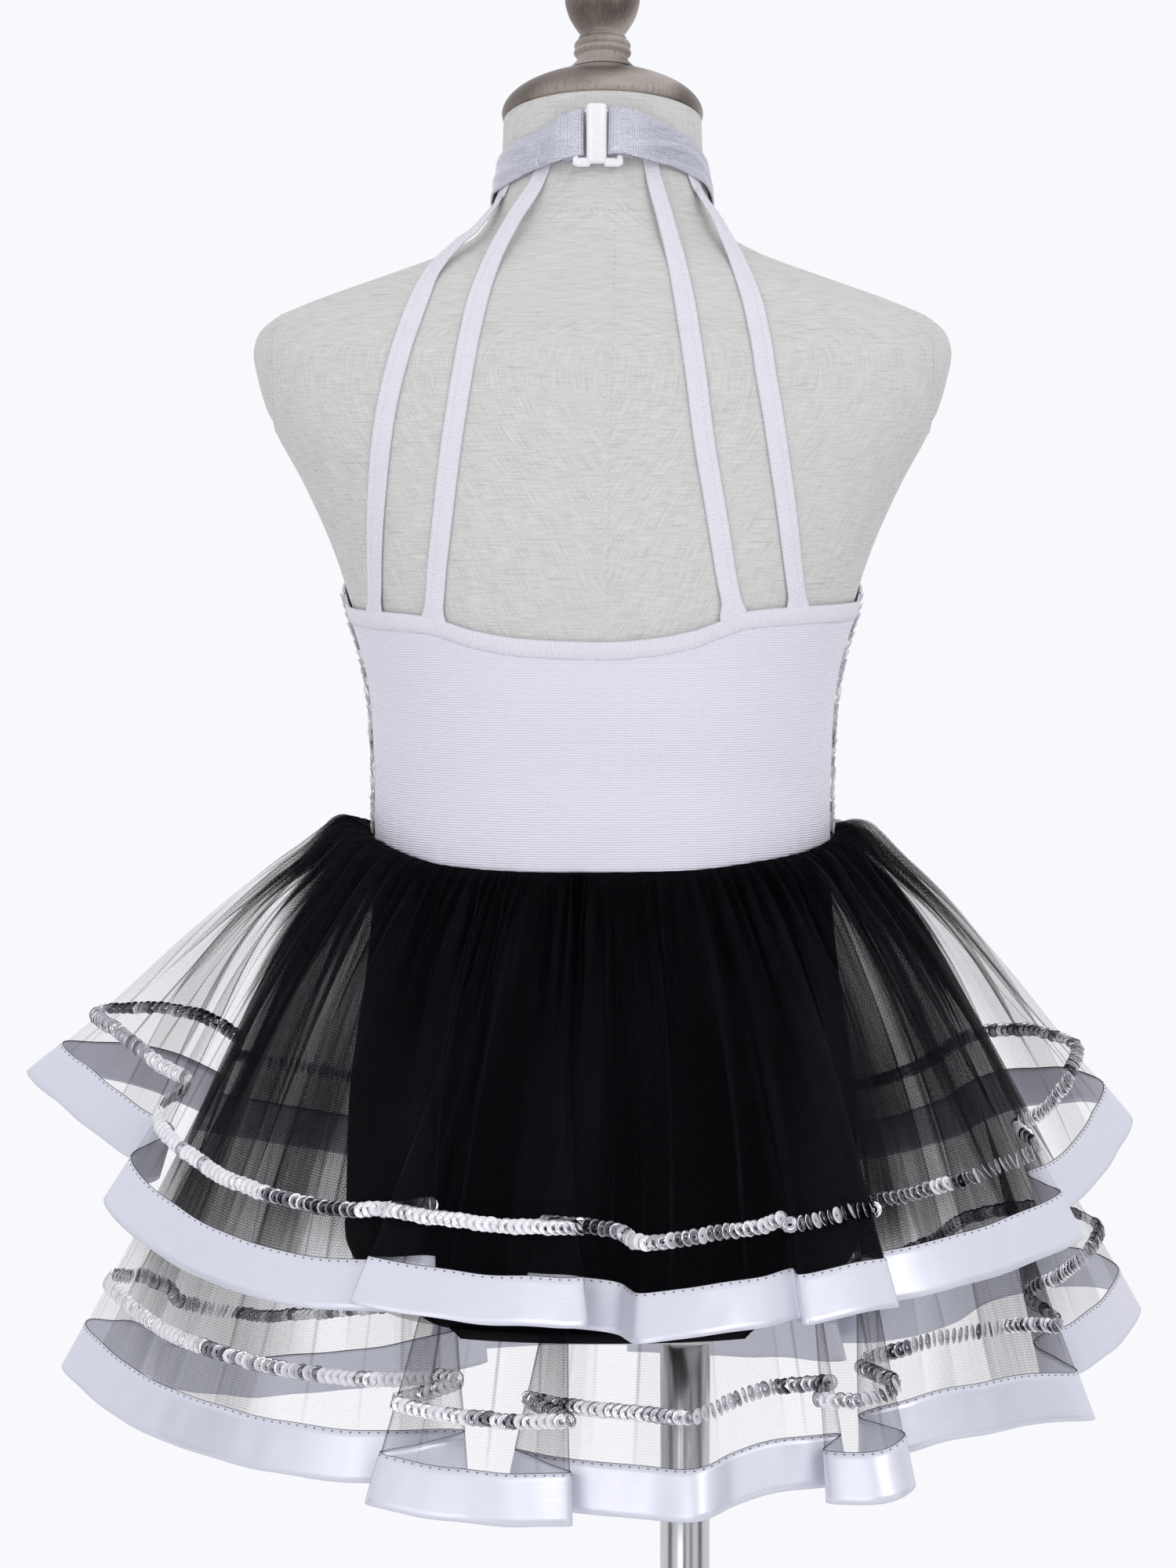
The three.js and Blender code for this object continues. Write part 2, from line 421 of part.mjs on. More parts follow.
// Angles that never turn back: runs that fall are pooled at their mean.
function steady(values) {
  const runs = [];
  for (const v of values) {
    runs.push({ sum: v, count: 1 });
    while (runs.length > 1 && runs[runs.length - 2].sum / runs[runs.length - 2].count > runs[runs.length - 1].sum / runs[runs.length - 1].count) {
      const r = runs.pop();
      runs[runs.length - 1].sum += r.sum;
      runs[runs.length - 1].count += r.count;
    }
  }
  return runs.flatMap((r) => Array(r.count).fill(r.sum / r.count));
}
function tier(rows, standOff, drop) {
  const hem = hemPoints(rows), n = hem.length;
  const ends = hem.map(polar);
  const length = [0];
  for (let i = 1; i <= n; i++) length.push(length[i - 1] + ends[i % n].distanceTo(ends[i - 1]));
  const even = steady(hem.map((p) => p.angle));
  const start = hem[0].angle;
  const gather = even.map((a, i) => 0.7 * a + 0.3 * (start + (360 * length[i]) / length[n]));
  const soft = hem.map((_, i) => {
    let reach = 0, rise = 0, weight = 0;
    for (let d = -5; d <= 5; d++) {
      const w = Math.exp(-(d * d) / 8), q = hem[(i + d + n) % n];
      reach += w * q.reach; rise += w * q.rise; weight += w;
    }
    return { angle: gather[i], reach: reach / weight, rise: rise / weight };
  }).map(polar);
  return (t, i) => {
    const phi = gather[i] * RAD;
    const w = wrap(((phi % (2 * Math.PI)) + 2 * Math.PI) % (2 * Math.PI));
    const top = skin(seamZ(w) - drop, w, EASE + CLOTH + standOff);
    const fold = ramp(t, FOLD_START, 1) * 0.4 + 0.6 * THREE.MathUtils.clamp((t - FOLD_START) / (1 - FOLD_START), 0, 1);
    const end = soft[i].clone().lerp(ends[i], fold);
    const p = top.clone().lerp(end, t);
    const sideways = Math.abs(Math.sin(phi));
    const bulge = (BULGE_BACK + (BULGE_SIDE - BULGE_BACK) * sideways * sideways) * Math.sin(Math.PI * t ** 0.7);
    const outward = new THREE.Vector3(end.x - top.x, end.y - top.y, 0).normalize();
    return p.addScaledVector(outward, bulge * 0.6).add(new THREE.Vector3(0, 0, bulge * 0.8));
  };
}
function addTier(prefix, rows, standOff, drop) {
  const at = tier(rows, standOff, drop), n = hemPoints(rows).length;
  const columns = Array.from({ length: n }, (_, i) => i);
  const share = columns.map((i) => {
    const end = at(1, i);
    let t = 0.9;
    for (let k = 0; k < 30; k++) t -= (RIBBON - at(t, i).distanceTo(end)) / 260;
    return t;
  });
  const gapShare = (2.7 * GAP) / 200;
  const tulle = [0, 0.13, 0.31, 0.52, 0.76, 1].map((s) => columns.map((i) => at(s * (share[i] - gapShare), i)));
  const ribbon = [0, 1].map((s) => columns.map((i) => at(share[i] + gapShare + (1 - share[i] - gapShare) * s, i)));
  add(dress, `${prefix}_tulle`, sheet(tulle, CLOTH, true), 0x17171c, 0.9);
  add(dress, `${prefix}_ribbon`, sheet(ribbon, RIBBON_WALL, true), 0xe2e2f2, 0.3);
}
addTier('tier_lower', TIER_2, 1.4, 1.4);
addTier('tier_upper', TIER_1, 4.4, 0.4);

// ---------------------------------------------------------------- stand
const ring = (inner, outer, low, high, sides) => turned([[inner, low], [outer, low], [outer, high], [inner, high], [inner, low]], sides);
add(group, 'base_disc', turned([[0, 0], [BASE_R - 2, 0], [BASE_R, 2], [BASE_R, BASE_H - 2.5], [BASE_R - 3, BASE_H], [0, BASE_H]], 64), 0xb9bbbe, 0.2, 1);
add(group, 'base_collar', ring(POLE_R + GAP, 21, BASE_H + GAP, BASE_H + 20, 32), 0xb9bbbe, 0.2, 1);
add(group, 'pole', turned([[0, BASE_H + GAP], [POLE_R, BASE_H + GAP], [POLE_R, FORM_FLOOR - GAP], [0, FORM_FLOOR - GAP]], 28), 0xb9bbbe, 0.2, 1);
add(group, 'pole_socket', ring(POLE_R + GAP, 14, FORM_FLOOR - 16, FORM_FLOOR - GAP, 28), 0xb9bbbe, 0.2, 1);

export default group;
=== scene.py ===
import bpy
import math
import numpy as np
from mathutils import Matrix, Vector


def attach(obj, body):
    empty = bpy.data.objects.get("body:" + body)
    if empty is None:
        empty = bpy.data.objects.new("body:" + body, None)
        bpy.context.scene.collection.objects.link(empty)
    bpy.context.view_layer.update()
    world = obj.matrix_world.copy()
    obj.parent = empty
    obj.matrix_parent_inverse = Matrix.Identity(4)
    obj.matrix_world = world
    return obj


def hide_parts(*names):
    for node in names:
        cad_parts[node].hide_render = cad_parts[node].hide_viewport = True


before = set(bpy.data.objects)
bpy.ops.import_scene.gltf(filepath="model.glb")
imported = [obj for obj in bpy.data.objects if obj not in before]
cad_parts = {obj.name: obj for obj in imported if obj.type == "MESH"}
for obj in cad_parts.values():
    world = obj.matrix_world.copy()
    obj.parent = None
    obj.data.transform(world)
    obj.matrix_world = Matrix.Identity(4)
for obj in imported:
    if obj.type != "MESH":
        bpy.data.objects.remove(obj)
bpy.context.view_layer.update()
rng = np.random.default_rng(11)

# ------------------------------------------------------------------ camera
cam_data = bpy.data.cameras.new("camera")
cam_data.lens = 99.06
cam_data.sensor_width = 36.0
camera = bpy.data.objects.new("camera", cam_data)
camera.location = (-0.041, -1.8, 0.79887)
camera.rotation_euler = (math.radians(86), 0, 0)
bpy.context.scene.collection.objects.link(camera)
bpy.context.scene.camera = camera

# ------------------------------------------------------------------ sizes
RAD = math.pi / 180
FORM_X = -35.0
EASE = 1.0
CLOTH = 1.2
BINDING_HEIGHT = 6.2
RIBBON = 20.0
STRAP_WIDTH = 7.7
NECK_TILT = 13 * RAD
NECK_TOP = 948.0
FORM_FLOOR = 454.0
SIDE_SEAM = 82.0
POLE_R = 10.5


def table(columns, rows):
    return [dict(zip(columns, row)) for row in rows]


TORSO = table(("z", "a", "b", "cy", "n"), [
    (454, 88, 68, -3, 2.25), (456, 95, 76, -3, 2.25), (461, 100.5, 82.5, -3, 2.3), (470, 104, 85, -4, 2.3), (484, 105.5, 87, -4, 2.3),
    (507, 105, 88, -5, 2.3), (540, 104, 87, -5, 2.3), (570, 100.5, 84, -4, 2.25), (597, 96.5, 79.5, -2, 2.2),
    (625, 94, 75.5, 0, 2.2), (651, 93.2, 73.5, 1, 2.2), (673, 93.2, 73.5, 1, 2.2), (699, 94, 75, 1, 2.25),
    (719, 96.5, 77, 2, 2.3), (748, 104.5, 79, 3, 2.35), (771, 112, 77, 3, 2.4), (797, 123.5, 72, 3, 2.5),
    (823, 137, 66.5, 2, 2.6), (840, 142.5, 62.5, 2, 2.7), (852, 144.6, 59, 1, 2.7), (859, 143, 57, 1, 2.6),
    (866, 136.5, 55.5, 0, 2.5), (873.5, 120, 54, 0, 2.4), (880, 102, 53, 0, 2.3), (887, 82, 51.5, 0, 2.2),
    (893, 66, 49.5, 0, 2.1), (901, 52, 46.8, 0, 2.0), (912, 45, 43.8, 0, 2.0), (926, 42.3, 42, 0, 2.0),
    (938, 41.3, 41.3, 1, 2.0), (948, 41, 41, 2, 2.0),
])
WAIST_SEAM = table(("angle", "z"), [
    (-180, 646), (-90, 651), (-69, 650), (-54, 647), (-40, 644), (-18, 642.6), (18, 643), (42, 646), (61, 648.5), (90, 651), (180, 646),
])
BACK_EDGE = table(("angle", "z"), [
    (-90, 752), (-75, 747.3), (-54, 746.1), (-41, 744.8), (-28, 738.6), (-17, 735.7), (0, 734.6), (11, 736), (20, 739), (27, 743.6),
    (33, 747), (48, 748.6), (75, 749.6), (90, 752),
])
ARMHOLE = table(("z", "x"), [(752, 104), (765, 97), (785, 87), (810, 75), (840, 62), (870, 51), (895, 41)])
STRAPS = {
    "strap_outer_left": table(("z", "x"), [
        (914.3, -43.1), (906, -49.5), (898, -57.1), (888, -66.3), (881.5, -70.7), (872, -74.6), (856.5, -80.2), (841, -84.7), (825.5, -88.1), (810, -90.3), (794, -91.9), (779, -93), (763, -93.5), (747.5, -93.3)]),
    "strap_inner_left": table(("z", "x"), [
        (917.3, -27.1), (904, -37.2), (888, -45.1), (872, -50.6), (856.5, -54.1), (841, -56.9), (825.5, -59.4), (810, -61.7), (794, -63.7), (778.5, -65.5), (763, -67.3), (745.6, -68.5)]),
    "strap_inner_right": table(("z", "x"), [
        (919, 20.9), (903.5, 26), (888, 29.8), (872.5, 32.8), (856.5, 35.3), (841, 37.5), (825, 39.4), (809.5, 41.6), (794, 44.3), (778.5, 46.9), (763, 49.4), (748.5, 52.1)]),
    "strap_outer_right": table(("z", "x"), [
        (916, 40.1), (912.5, 42.7), (905, 47.8), (896.5, 51.4), (888, 54.9), (872, 60.3), (856.5, 63.6), (841, 65.9), (825.5, 68.6), (810, 70.9), (794, 73.4), (778.5, 75.5), (763, 77.5), (750.6, 78.8)]),
}
COLLAR = table(("angle", "low", "high"), [
    (-180, 904, 920), (-130, 908, 923), (-90, 914, 928.5), (-62, 917.5, 931.6), (-40, 920.2, 933.4), (-21, 922, 936.6), (-8, 923.5, 939.4),
    (8, 923.7, 939.5), (19, 922.6, 938), (42, 921.4, 935), (60, 919.5, 932), (90, 914, 927.5), (130, 908, 922), (180, 904, 920),
])
COLLAR_PATH = table(("angle", "out"), [
    (-22, 2.1), (-17, 2.1), (-12.4, 2.3), (-10, 3.4), (-9.3, 4.8), (-9.7, 6.2), (-12.2, 7.3), (-17, 7.6), (-22, 7.0), (-28, 5.0), (-35, 3.0), (-43, 1.9),
    (-60, 1.7), (-80, 1.6), (-100, 1.6), (-120, 1.6), (-140, 1.6), (-160, 1.6), (-180, 1.6), (-200, 1.6), (-220, 1.6), (-240, 1.6), (-260, 1.6), (-280, 1.6), (-300, 1.7),
    (-315, 1.9), (-324, 2.7), (-332, 4.5), (-339, 6.9), (-345, 8.3), (-350, 8.6), (-354.6, 8.3), (-356.9, 7.1), (-357.5, 5.5), (-356.9, 3.8), (-354.2, 2.4), (-349, 2.1), (-344, 2.1),
])
PANEL = ("from", "to", "reach0", "reach1", "reach2", "rise0", "rise1", "rise2")
TIER_1 = table(PANEL, [
    (-98, -76, 248, 213, 187, 547, 528, 515), (-71, -22, 213, 197, 171, 509, 484, 482), (-29, -2, 199, 194, 181, 487, 482, 479),
    (-12, 2, 165, 162, 168, 477, 475, 473.5), (4, 24, 183, 189, 185, 473, 477, 480), (23.5, 35, 193, 197, 197, 479, 482, 483),
    (34, 66, 182, 198, 211, 481, 488, 497), (70, 101, 189, 206, 232, 499, 507, 526), (101, 119, 232, 219, 196, 526, 528, 518),
    (119, 150, 196, 198, 184, 518, 497, 486), (143, 179, 168, 166, 171, 483, 479, 477), (173, 207, 185, 191, 185, 480, 480, 484),
    (200, 243, 168, 186, 202, 482, 496, 514), (244, 262, 191, 212, 248, 519, 537, 547),
])
TIER_2 = table(PANEL, [
    (-80, -19, 226, 198, 160, 435, 416, 412), (-29, -4, 188, 186, 174, 407, 403, 401), (-14, 12, 160, 161, 176, 406, 402, 402),
    (12, 33, 176, 169, 176, 402, 409, 410), (28, 37, 184, 201, 199, 407, 409, 413), (36, 68, 170, 191, 214, 415, 424, 422),
    (72, 101, 189, 215, 236, 428, 437, 444), (101, 120, 236, 223, 197, 444, 446, 434), (120, 146, 197, 195, 192, 434, 413, 404),
    (140, 176, 172, 167, 172, 402, 399, 398), (170, 205, 187, 192, 187, 398, 397, 397), (198, 251, 168, 189, 204, 396, 386, 404),
    (251, 280, 204, 201, 226, 404, 422, 435),
])
STEPS = 4
BULGE_SIDE = 17.0
BULGE_BACK = 4.0
FOLD_START = 0.3


# ------------------------------------------------------------------ curves
def reader(rows, key, value):
    ks = np.array([r[key] for r in rows], float)
    vs = np.array([r[value] for r in rows], float)
    rise = np.diff(vs) / np.diff(ks)
    slope = np.zeros_like(vs)
    slope[0], slope[-1] = rise[0], rise[-1]
    p, q = rise[:-1], rise[1:]
    total = np.where(np.abs(p + q) < 1e-12, 1, p + q)
    slope[1:-1] = np.where(p * q <= 0, 0, 2 * p * q / total)

    def at(x):
        x = np.clip(np.asarray(x, float), ks[0], ks[-1])
        i = np.clip(np.searchsorted(ks, x, side="right") - 1, 0, len(ks) - 2)
        h = ks[i + 1] - ks[i]
        t = (x - ks[i]) / h
        return ((2 * t**3 - 3 * t * t + 1) * vs[i] + (t**3 - 2 * t * t + t) * h * slope[i]
                + (-2 * t**3 + 3 * t * t) * vs[i + 1] + (t**3 - t * t) * h * slope[i + 1])

    return at


def ramp(v, a, b):
    t = np.clip((np.asarray(v, float) - a) / (b - a), 0, 1)
    return t * t * (3 - 2 * t)


def wrap(p):
    return (np.asarray(p, float) + math.pi) % (2 * math.pi) - math.pi


half_width, half_depth, centre_y, power = (reader(TORSO, "z", k) for k in ("a", "b", "cy", "n"))
seam_of = reader(WAIST_SEAM, "angle", "z")
edge_of = reader(BACK_EDGE, "angle", "z")
armhole_x = reader(ARMHOLE, "z", "x")


def torso(z, phi):
    z, phi = np.broadcast_arrays(np.asarray(z, float), np.asarray(phi, float))
    n = power(z)
    s, c = np.sin(phi), np.cos(phi)
    k = (np.abs(s) ** n + np.abs(c) ** n) ** (-1 / n)
    x, y = half_width(z) * s * k, centre_y(z) - half_depth(z) * c * k
    return np.stack([x, y, z - y * math.tan(NECK_TILT) * ramp(z, 895, 940)], -1)


def unit(v):
    return v / np.maximum(np.linalg.norm(v, axis=-1, keepdims=True), 1e-12)


def normal(z, phi):
    along = torso(z, np.asarray(phi) + 0.02) - torso(z, np.asarray(phi) - 0.02)
    up = torso(np.minimum(np.asarray(z, float) + 1, NECK_TOP), phi) - torso(np.maximum(np.asarray(z, float) - 1, FORM_FLOOR), phi)
    return unit(np.cross(along, up))


def skin(z, phi, out=0.0):
    z, phi = np.broadcast_arrays(np.asarray(z, float), np.asarray(phi, float))
    return torso(z, phi) + normal(z, phi) * (np.zeros(z.shape) + out)[..., None]


def angle_at(z, x, out=0.0):
    z, x = np.broadcast_arrays(np.asarray(z, float), np.asarray(x, float))
    lo, hi = np.full(z.shape, -math.pi / 2), np.full(z.shape, math.pi / 2)
    for _ in range(34):
        m = (lo + hi) / 2
        less = skin(z, m, out)[..., 0] < x
        lo, hi = np.where(less, m, lo), np.where(less, hi, m)
    return lo


def seam_z(phi):
    return seam_of(wrap(phi) / RAD)


def back_top(phi):
    return edge_of(wrap(phi) / RAD)


def spline(points, count=None, closed=False, places=None):
    """Points along a smooth curve through the given ones: count of them, or those at the given places in the list."""
    P = np.asarray(points, float)
    n = len(P)
    idx = np.linspace(0, n if closed else n - 1, count, endpoint=not closed) if places is None else np.asarray(places, float)
    i = np.clip(idx.astype(int), 0, (n - 1) if closed else (n - 2))
    f = idx - i

    def g(k):
        return P[k % n] if closed else P[np.clip(k, 0, n - 1)]

    p0, p1, p2, p3 = g(i - 1), g(i), g(i + 1), g(i + 2)
    if not closed:
        p0 = np.where((i == 0)[:, None], 2 * p1 - p2, p0)
        p3 = np.where((i == n - 2)[:, None], 2 * p2 - p1, p3)
    d1, d2, d3 = (np.maximum(np.linalg.norm(q, axis=1), 1e-6)[:, None] ** 0.5 for q in (p1 - p0, p2 - p1, p3 - p2))
    t = f[:, None] * d2
    a1 = p0 + (p1 - p0) * (t + d1) / d1
    a2 = p1 + (p2 - p1) * t / d2
    a3 = p2 + (p3 - p2) * (t - d2) / d3
    b1 = a1 + (a2 - a1) * (t + d1) / (d1 + d2)
    b2 = a2 + (a3 - a2) * t / (d2 + d3)
    return b1 + (b2 - b1) * t / d2


def lengths(P, closed=False):
    step = np.linalg.norm(np.diff(P, axis=0), axis=1)
    out = np.concatenate([[0], np.cumsum(step)])
    return np.append(out, out[-1] + np.linalg.norm(P[0] - P[-1])) if closed else out


def ripple(u, seed, count, low, high):
    """A smooth random wave in -1..1 of a value that runs over u; frequencies low..high per unit of u."""
    r = np.random.default_rng(seed)
    f, a, p = r.uniform(low, high, count), r.uniform(0.5, 1, count), r.uniform(0, 2 * math.pi, count)
    return sum(a[k] * np.sin(2 * math.pi * f[k] * u + p[k]) for k in range(count)) / a.sum() * 1.5


# ------------------------------------------------------------------ meshes
ALL = []


def build(name, verts, faces, uvs=None, material=None, smooth=True, attributes=None):
    """verts in mm (N,3) about the form's centre line; faces a list of (M,k) index arrays; uvs a matching list of (M,k,2)."""
    me = bpy.data.meshes.new(name)
    co = (np.asarray(verts, float) + [FORM_X, 0, 0]) / 1000
    me.vertices.add(len(co))
    me.vertices.foreach_set("co", co.astype(np.float32).ravel())
    sizes = np.concatenate([np.full(len(f), f.shape[1]) for f in faces])
    loops = np.concatenate([f.ravel() for f in faces]).astype(np.int32)
    me.loops.add(len(loops))
    me.loops.foreach_set("vertex_index", loops)
    me.polygons.add(len(sizes))
    me.polygons.foreach_set("loop_start", np.concatenate([[0], np.cumsum(sizes)[:-1]]).astype(np.int32))
    if uvs is not None:
        layer = me.uv_layers.new(name="UVMap")
        layer.data.foreach_set("uv", np.concatenate([u.reshape(-1, 2) for u in uvs]).astype(np.float32).ravel())
    for key, values in (attributes or {}).items():
        a = me.attributes.new(key, "FLOAT", "POINT")
        a.data.foreach_set("value", np.asarray(values, np.float32).ravel())
    me.update(calc_edges=True)
    me.validate()
    if smooth:
        me.polygons.foreach_set("use_smooth", np.ones(len(me.polygons), bool))
    ob = bpy.data.objects.new(name, me)
    bpy.context.scene.collection.objects.link(ob)
    if material:
        me.materials.append(material)
    ALL.append(ob)
    return ob


def quads(rows, cols, wrap_cols=False, wrap_rows=False):
    r = np.arange(rows if wrap_rows else rows - 1)[:, None]
    c = np.arange(cols if wrap_cols else cols - 1)[None, :]
    r2, c2 = (r + 1) % rows, (c + 1) % cols
    f = np.stack([r * cols + c, r * cols + c2, r2 * cols + c2, r2 * cols + c], -1).reshape(-1, 4)
    return f


def quad_uvs(UV, rows, cols, wrap_cols=False, wrap_rows=False):
    """UV has one more column or row than the grid where it wraps."""
    r = np.arange(rows if wrap_rows else rows - 1)[:, None]
    c = np.arange(cols if wrap_cols else cols - 1)[None, :]
    return np.stack([UV[r, c], UV[r, c + 1], UV[r + 1, c + 1], UV[r + 1, c]], -2).reshape(-1, 4, 2)


def out_first(verts, faces):
    """True if the closed mesh's faces point out."""
    v = 0.0
    for f in faces:
        p = verts[f]
        for k in range(1, f.shape[1] - 1):
            v += np.einsum("ij,ij->i", p[:, 0], np.cross(p[:, k], p[:, k + 1])).sum()
    return v > 0


def flip(faces, uvs):
    return [f[:, ::-1] for f in faces], [u[:, ::-1] for u in uvs] if uvs else None


def film(name, P, UV, closed=False, material=None, attributes=None):
    """A single open sheet from a grid [row][column]."""
    rows, cols = P.shape[:2]
    return build(name, P.reshape(-1, 3), [quads(rows, cols, closed)], [quad_uvs(UV, rows, cols, closed)], material, attributes=attributes)


def shell(name, outer, inner, UV, closed=False, material=None, round_=0.45):
    """A closed wall between two grids, with rounded upper and lower edges."""
    rows, cols = outer.shape[:2]
    thick = np.linalg.norm(outer - inner, axis=-1)

    def lip(r, r_in):
        direction = unit((outer[r] - outer[r_in]) + (inner[r] - inner[r_in]))
        return (outer[r] + inner[r]) / 2 + direction * (thick[r] * round_)[:, None]

    ring = np.concatenate([outer, lip(-1, -2)[None], inner[::-1], lip(0, 1)[None]])
    ring_uv = np.concatenate([UV, UV[-1:], UV[::-1], UV[:1], UV[:1]])
    count = len(ring)
    faces = [quads(count, cols, closed, True)]
    uvs = [quad_uvs(ring_uv, count, cols, closed, True)]
    if not closed:
        for side in (0, cols - 1):
            o = np.arange(rows) * cols + side
            i = (2 * rows - np.arange(rows)) * cols + side
            f = np.stack([o[:-1], i[:-1], i[1:], o[1:]], -1)
            t = np.array([[o[-1], i[-1], rows * cols + side], [i[0], o[0], (count - 1) * cols + side]])
            u = np.stack([UV[:-1, side], UV[:-1, side], UV[1:, side], UV[1:, side]], 1)
            tu = np.stack([np.stack([UV[-1, side]] * 3), np.stack([UV[0, side]] * 3)])
            if side:
                f, t, u, tu = f[:, ::-1], t[:, ::-1], u[:, ::-1], tu[:, ::-1]
            faces += [f, t]
            uvs += [u, tu]
    verts = ring.reshape(-1, 3)
    if not out_first(verts, faces):
        faces, uvs = flip(faces, uvs)
    return build(name, verts, faces, uvs, material)


def grid_normals(P, closed=False):
    if closed:
        across = np.roll(P, -1, 1) - np.roll(P, 1, 1)
    else:
        across = np.gradient(P, axis=1)
    return unit(np.cross(across, np.gradient(P, axis=0)))


def lathe(name, profile, sides, centre, tilt=0.0, material=None, sharp=()):
    """profile of (radius, height) turned about an axis through centre, in mm about the form's centre line."""
    pr = np.array(profile, float)
    a = np.arange(sides) / sides * 2 * math.pi
    P = np.stack([pr[:, None, 0] * np.cos(a), pr[:, None, 0] * np.sin(a), np.broadcast_to(pr[:, None, 1], (len(pr), sides))], -1)
    c, s = math.cos(-tilt), math.sin(-tilt)
    Q = np.stack([P[..., 0], P[..., 1] * c - P[..., 2] * s, P[..., 1] * s + P[..., 2] * c], -1) + np.asarray(centre, float)
    run = lengths(pr)
    UV = np.stack(np.broadcast_arrays(np.append(a, 2 * math.pi)[None, :] * max(pr[:, 0]), run[:, None]), -1)
    faces, uvs = [quads(len(pr), sides, True)], [quad_uvs(UV, len(pr), sides, True)]
    verts = Q.reshape(-1, 3)
    for row in (0, len(pr) - 1):
        if pr[row, 0] > 0:
            ring = row * sides + np.arange(sides)
            mid = Q[row].mean(0)
            verts = np.vstack([verts, mid])
            k = len(verts) - 1
            t = np.stack([ring, np.roll(ring, -1), np.full(sides, k)], -1)
            if row == 0:
                t = t[:, ::-1]
            faces.append(t)
            uvs.append(np.zeros((sides, 3, 2)))
    if not out_first(verts, faces):
        faces, uvs = flip(faces, uvs)
    return build(name, verts, faces, uvs, material)


def scatter(name, template, frames, material=None, indices=None, smooth=True):
    """Copies of a small mesh (verts, faces) at frames (N,4,3): three axes and a place."""
    tv, tf = template
    F = np.asarray(frames, float)
    n = len(F)
    verts = np.einsum("vk,nkd->nvd", tv, F[:, :3]) + F[:, 3][:, None, :]
    offset = (np.arange(n) * len(tv))[:, None, None]
    faces = [(f[None] + offset).reshape(-1, f.shape[1]) for f in tf]
    ob = build(name, verts.reshape(-1, 3), faces, None, material if not isinstance(material, (list, tuple)) else None, smooth)
    if isinstance(material, (list, tuple)):
        for m in material:
            ob.data.materials.append(m)
        which = np.concatenate([np.repeat(np.asarray(indices), len(f)) for f in tf]).astype(np.int32)
        ob.data.polygons.foreach_set("material_index", which)
    return ob


def stitch_template(length, radius):
    """A short thread that rises out of the cloth and goes back in, along X, with Z out."""
    rows, sides = 5, 5
    x = np.linspace(-0.5, 0.5, rows) * length
    lift = np.array([-0.6, 0.35, 0.6, 0.35, -0.6]) * radius
    r = np.array([0.35, 0.9, 1, 0.9, 0.35]) * radius
    a = np.arange(sides) / sides * 2 * math.pi
    P = np.stack([np.broadcast_to(x[:, None], (rows, sides)), r[:, None] * np.cos(a), lift[:, None] + r[:, None] * np.sin(a)], -1)
    caps = [np.arange(sides)[::-1][None], ((rows - 1) * sides + np.arange(sides))[None]]
    return P.reshape(-1, 3), [quads(rows, sides, True), *caps]


def disc_template(radius, hole, cup, sides=14):
    """A thin cupped sequin with a centre hole, in the XY plane, with Z out: two skins joined at both rims."""
    a = np.arange(sides) / sides * 2 * math.pi
    rings = [(hole, 0.0), (radius, cup), (radius, cup + 0.12), (radius * 0.62, 0.06 * cup + 0.12), (hole, 0.12)]
    P = np.stack([np.stack([r * np.cos(a), r * np.sin(a), np.full(sides, z)], -1) for r, z in rings])
    f = quads(len(rings), sides, True, True)[:, ::-1]
    return P.reshape(-1, 3), [f]


def along(P, N, pitch, start=0.0, length=1.0, lift=0.0, side=0.0):
    """Frames (tangent, side, out, place) every pitch mm along a line P with normals N."""
    run = lengths(P)
    s = np.arange(start, run[-1] - pitch * 0.3, pitch)
    at = lambda A: np.stack([np.interp(s, run, A[:, k]) for k in range(3)], -1)
    p, n = at(P), unit(at(N))
    h = 0.2
    ahead = np.stack([np.interp(np.minimum(s + h, run[-1]), run, P[:, k]) for k in range(3)], -1)
    back = np.stack([np.interp(np.maximum(s - h, 0), run, P[:, k]) for k in range(3)], -1)
    t = unit(ahead - back)
    n = unit(n - (n * t).sum(-1, keepdims=True) * t)
    b = np.cross(n, t)
    return np.stack([t, b, n, p + n * lift + b * side], 1), s


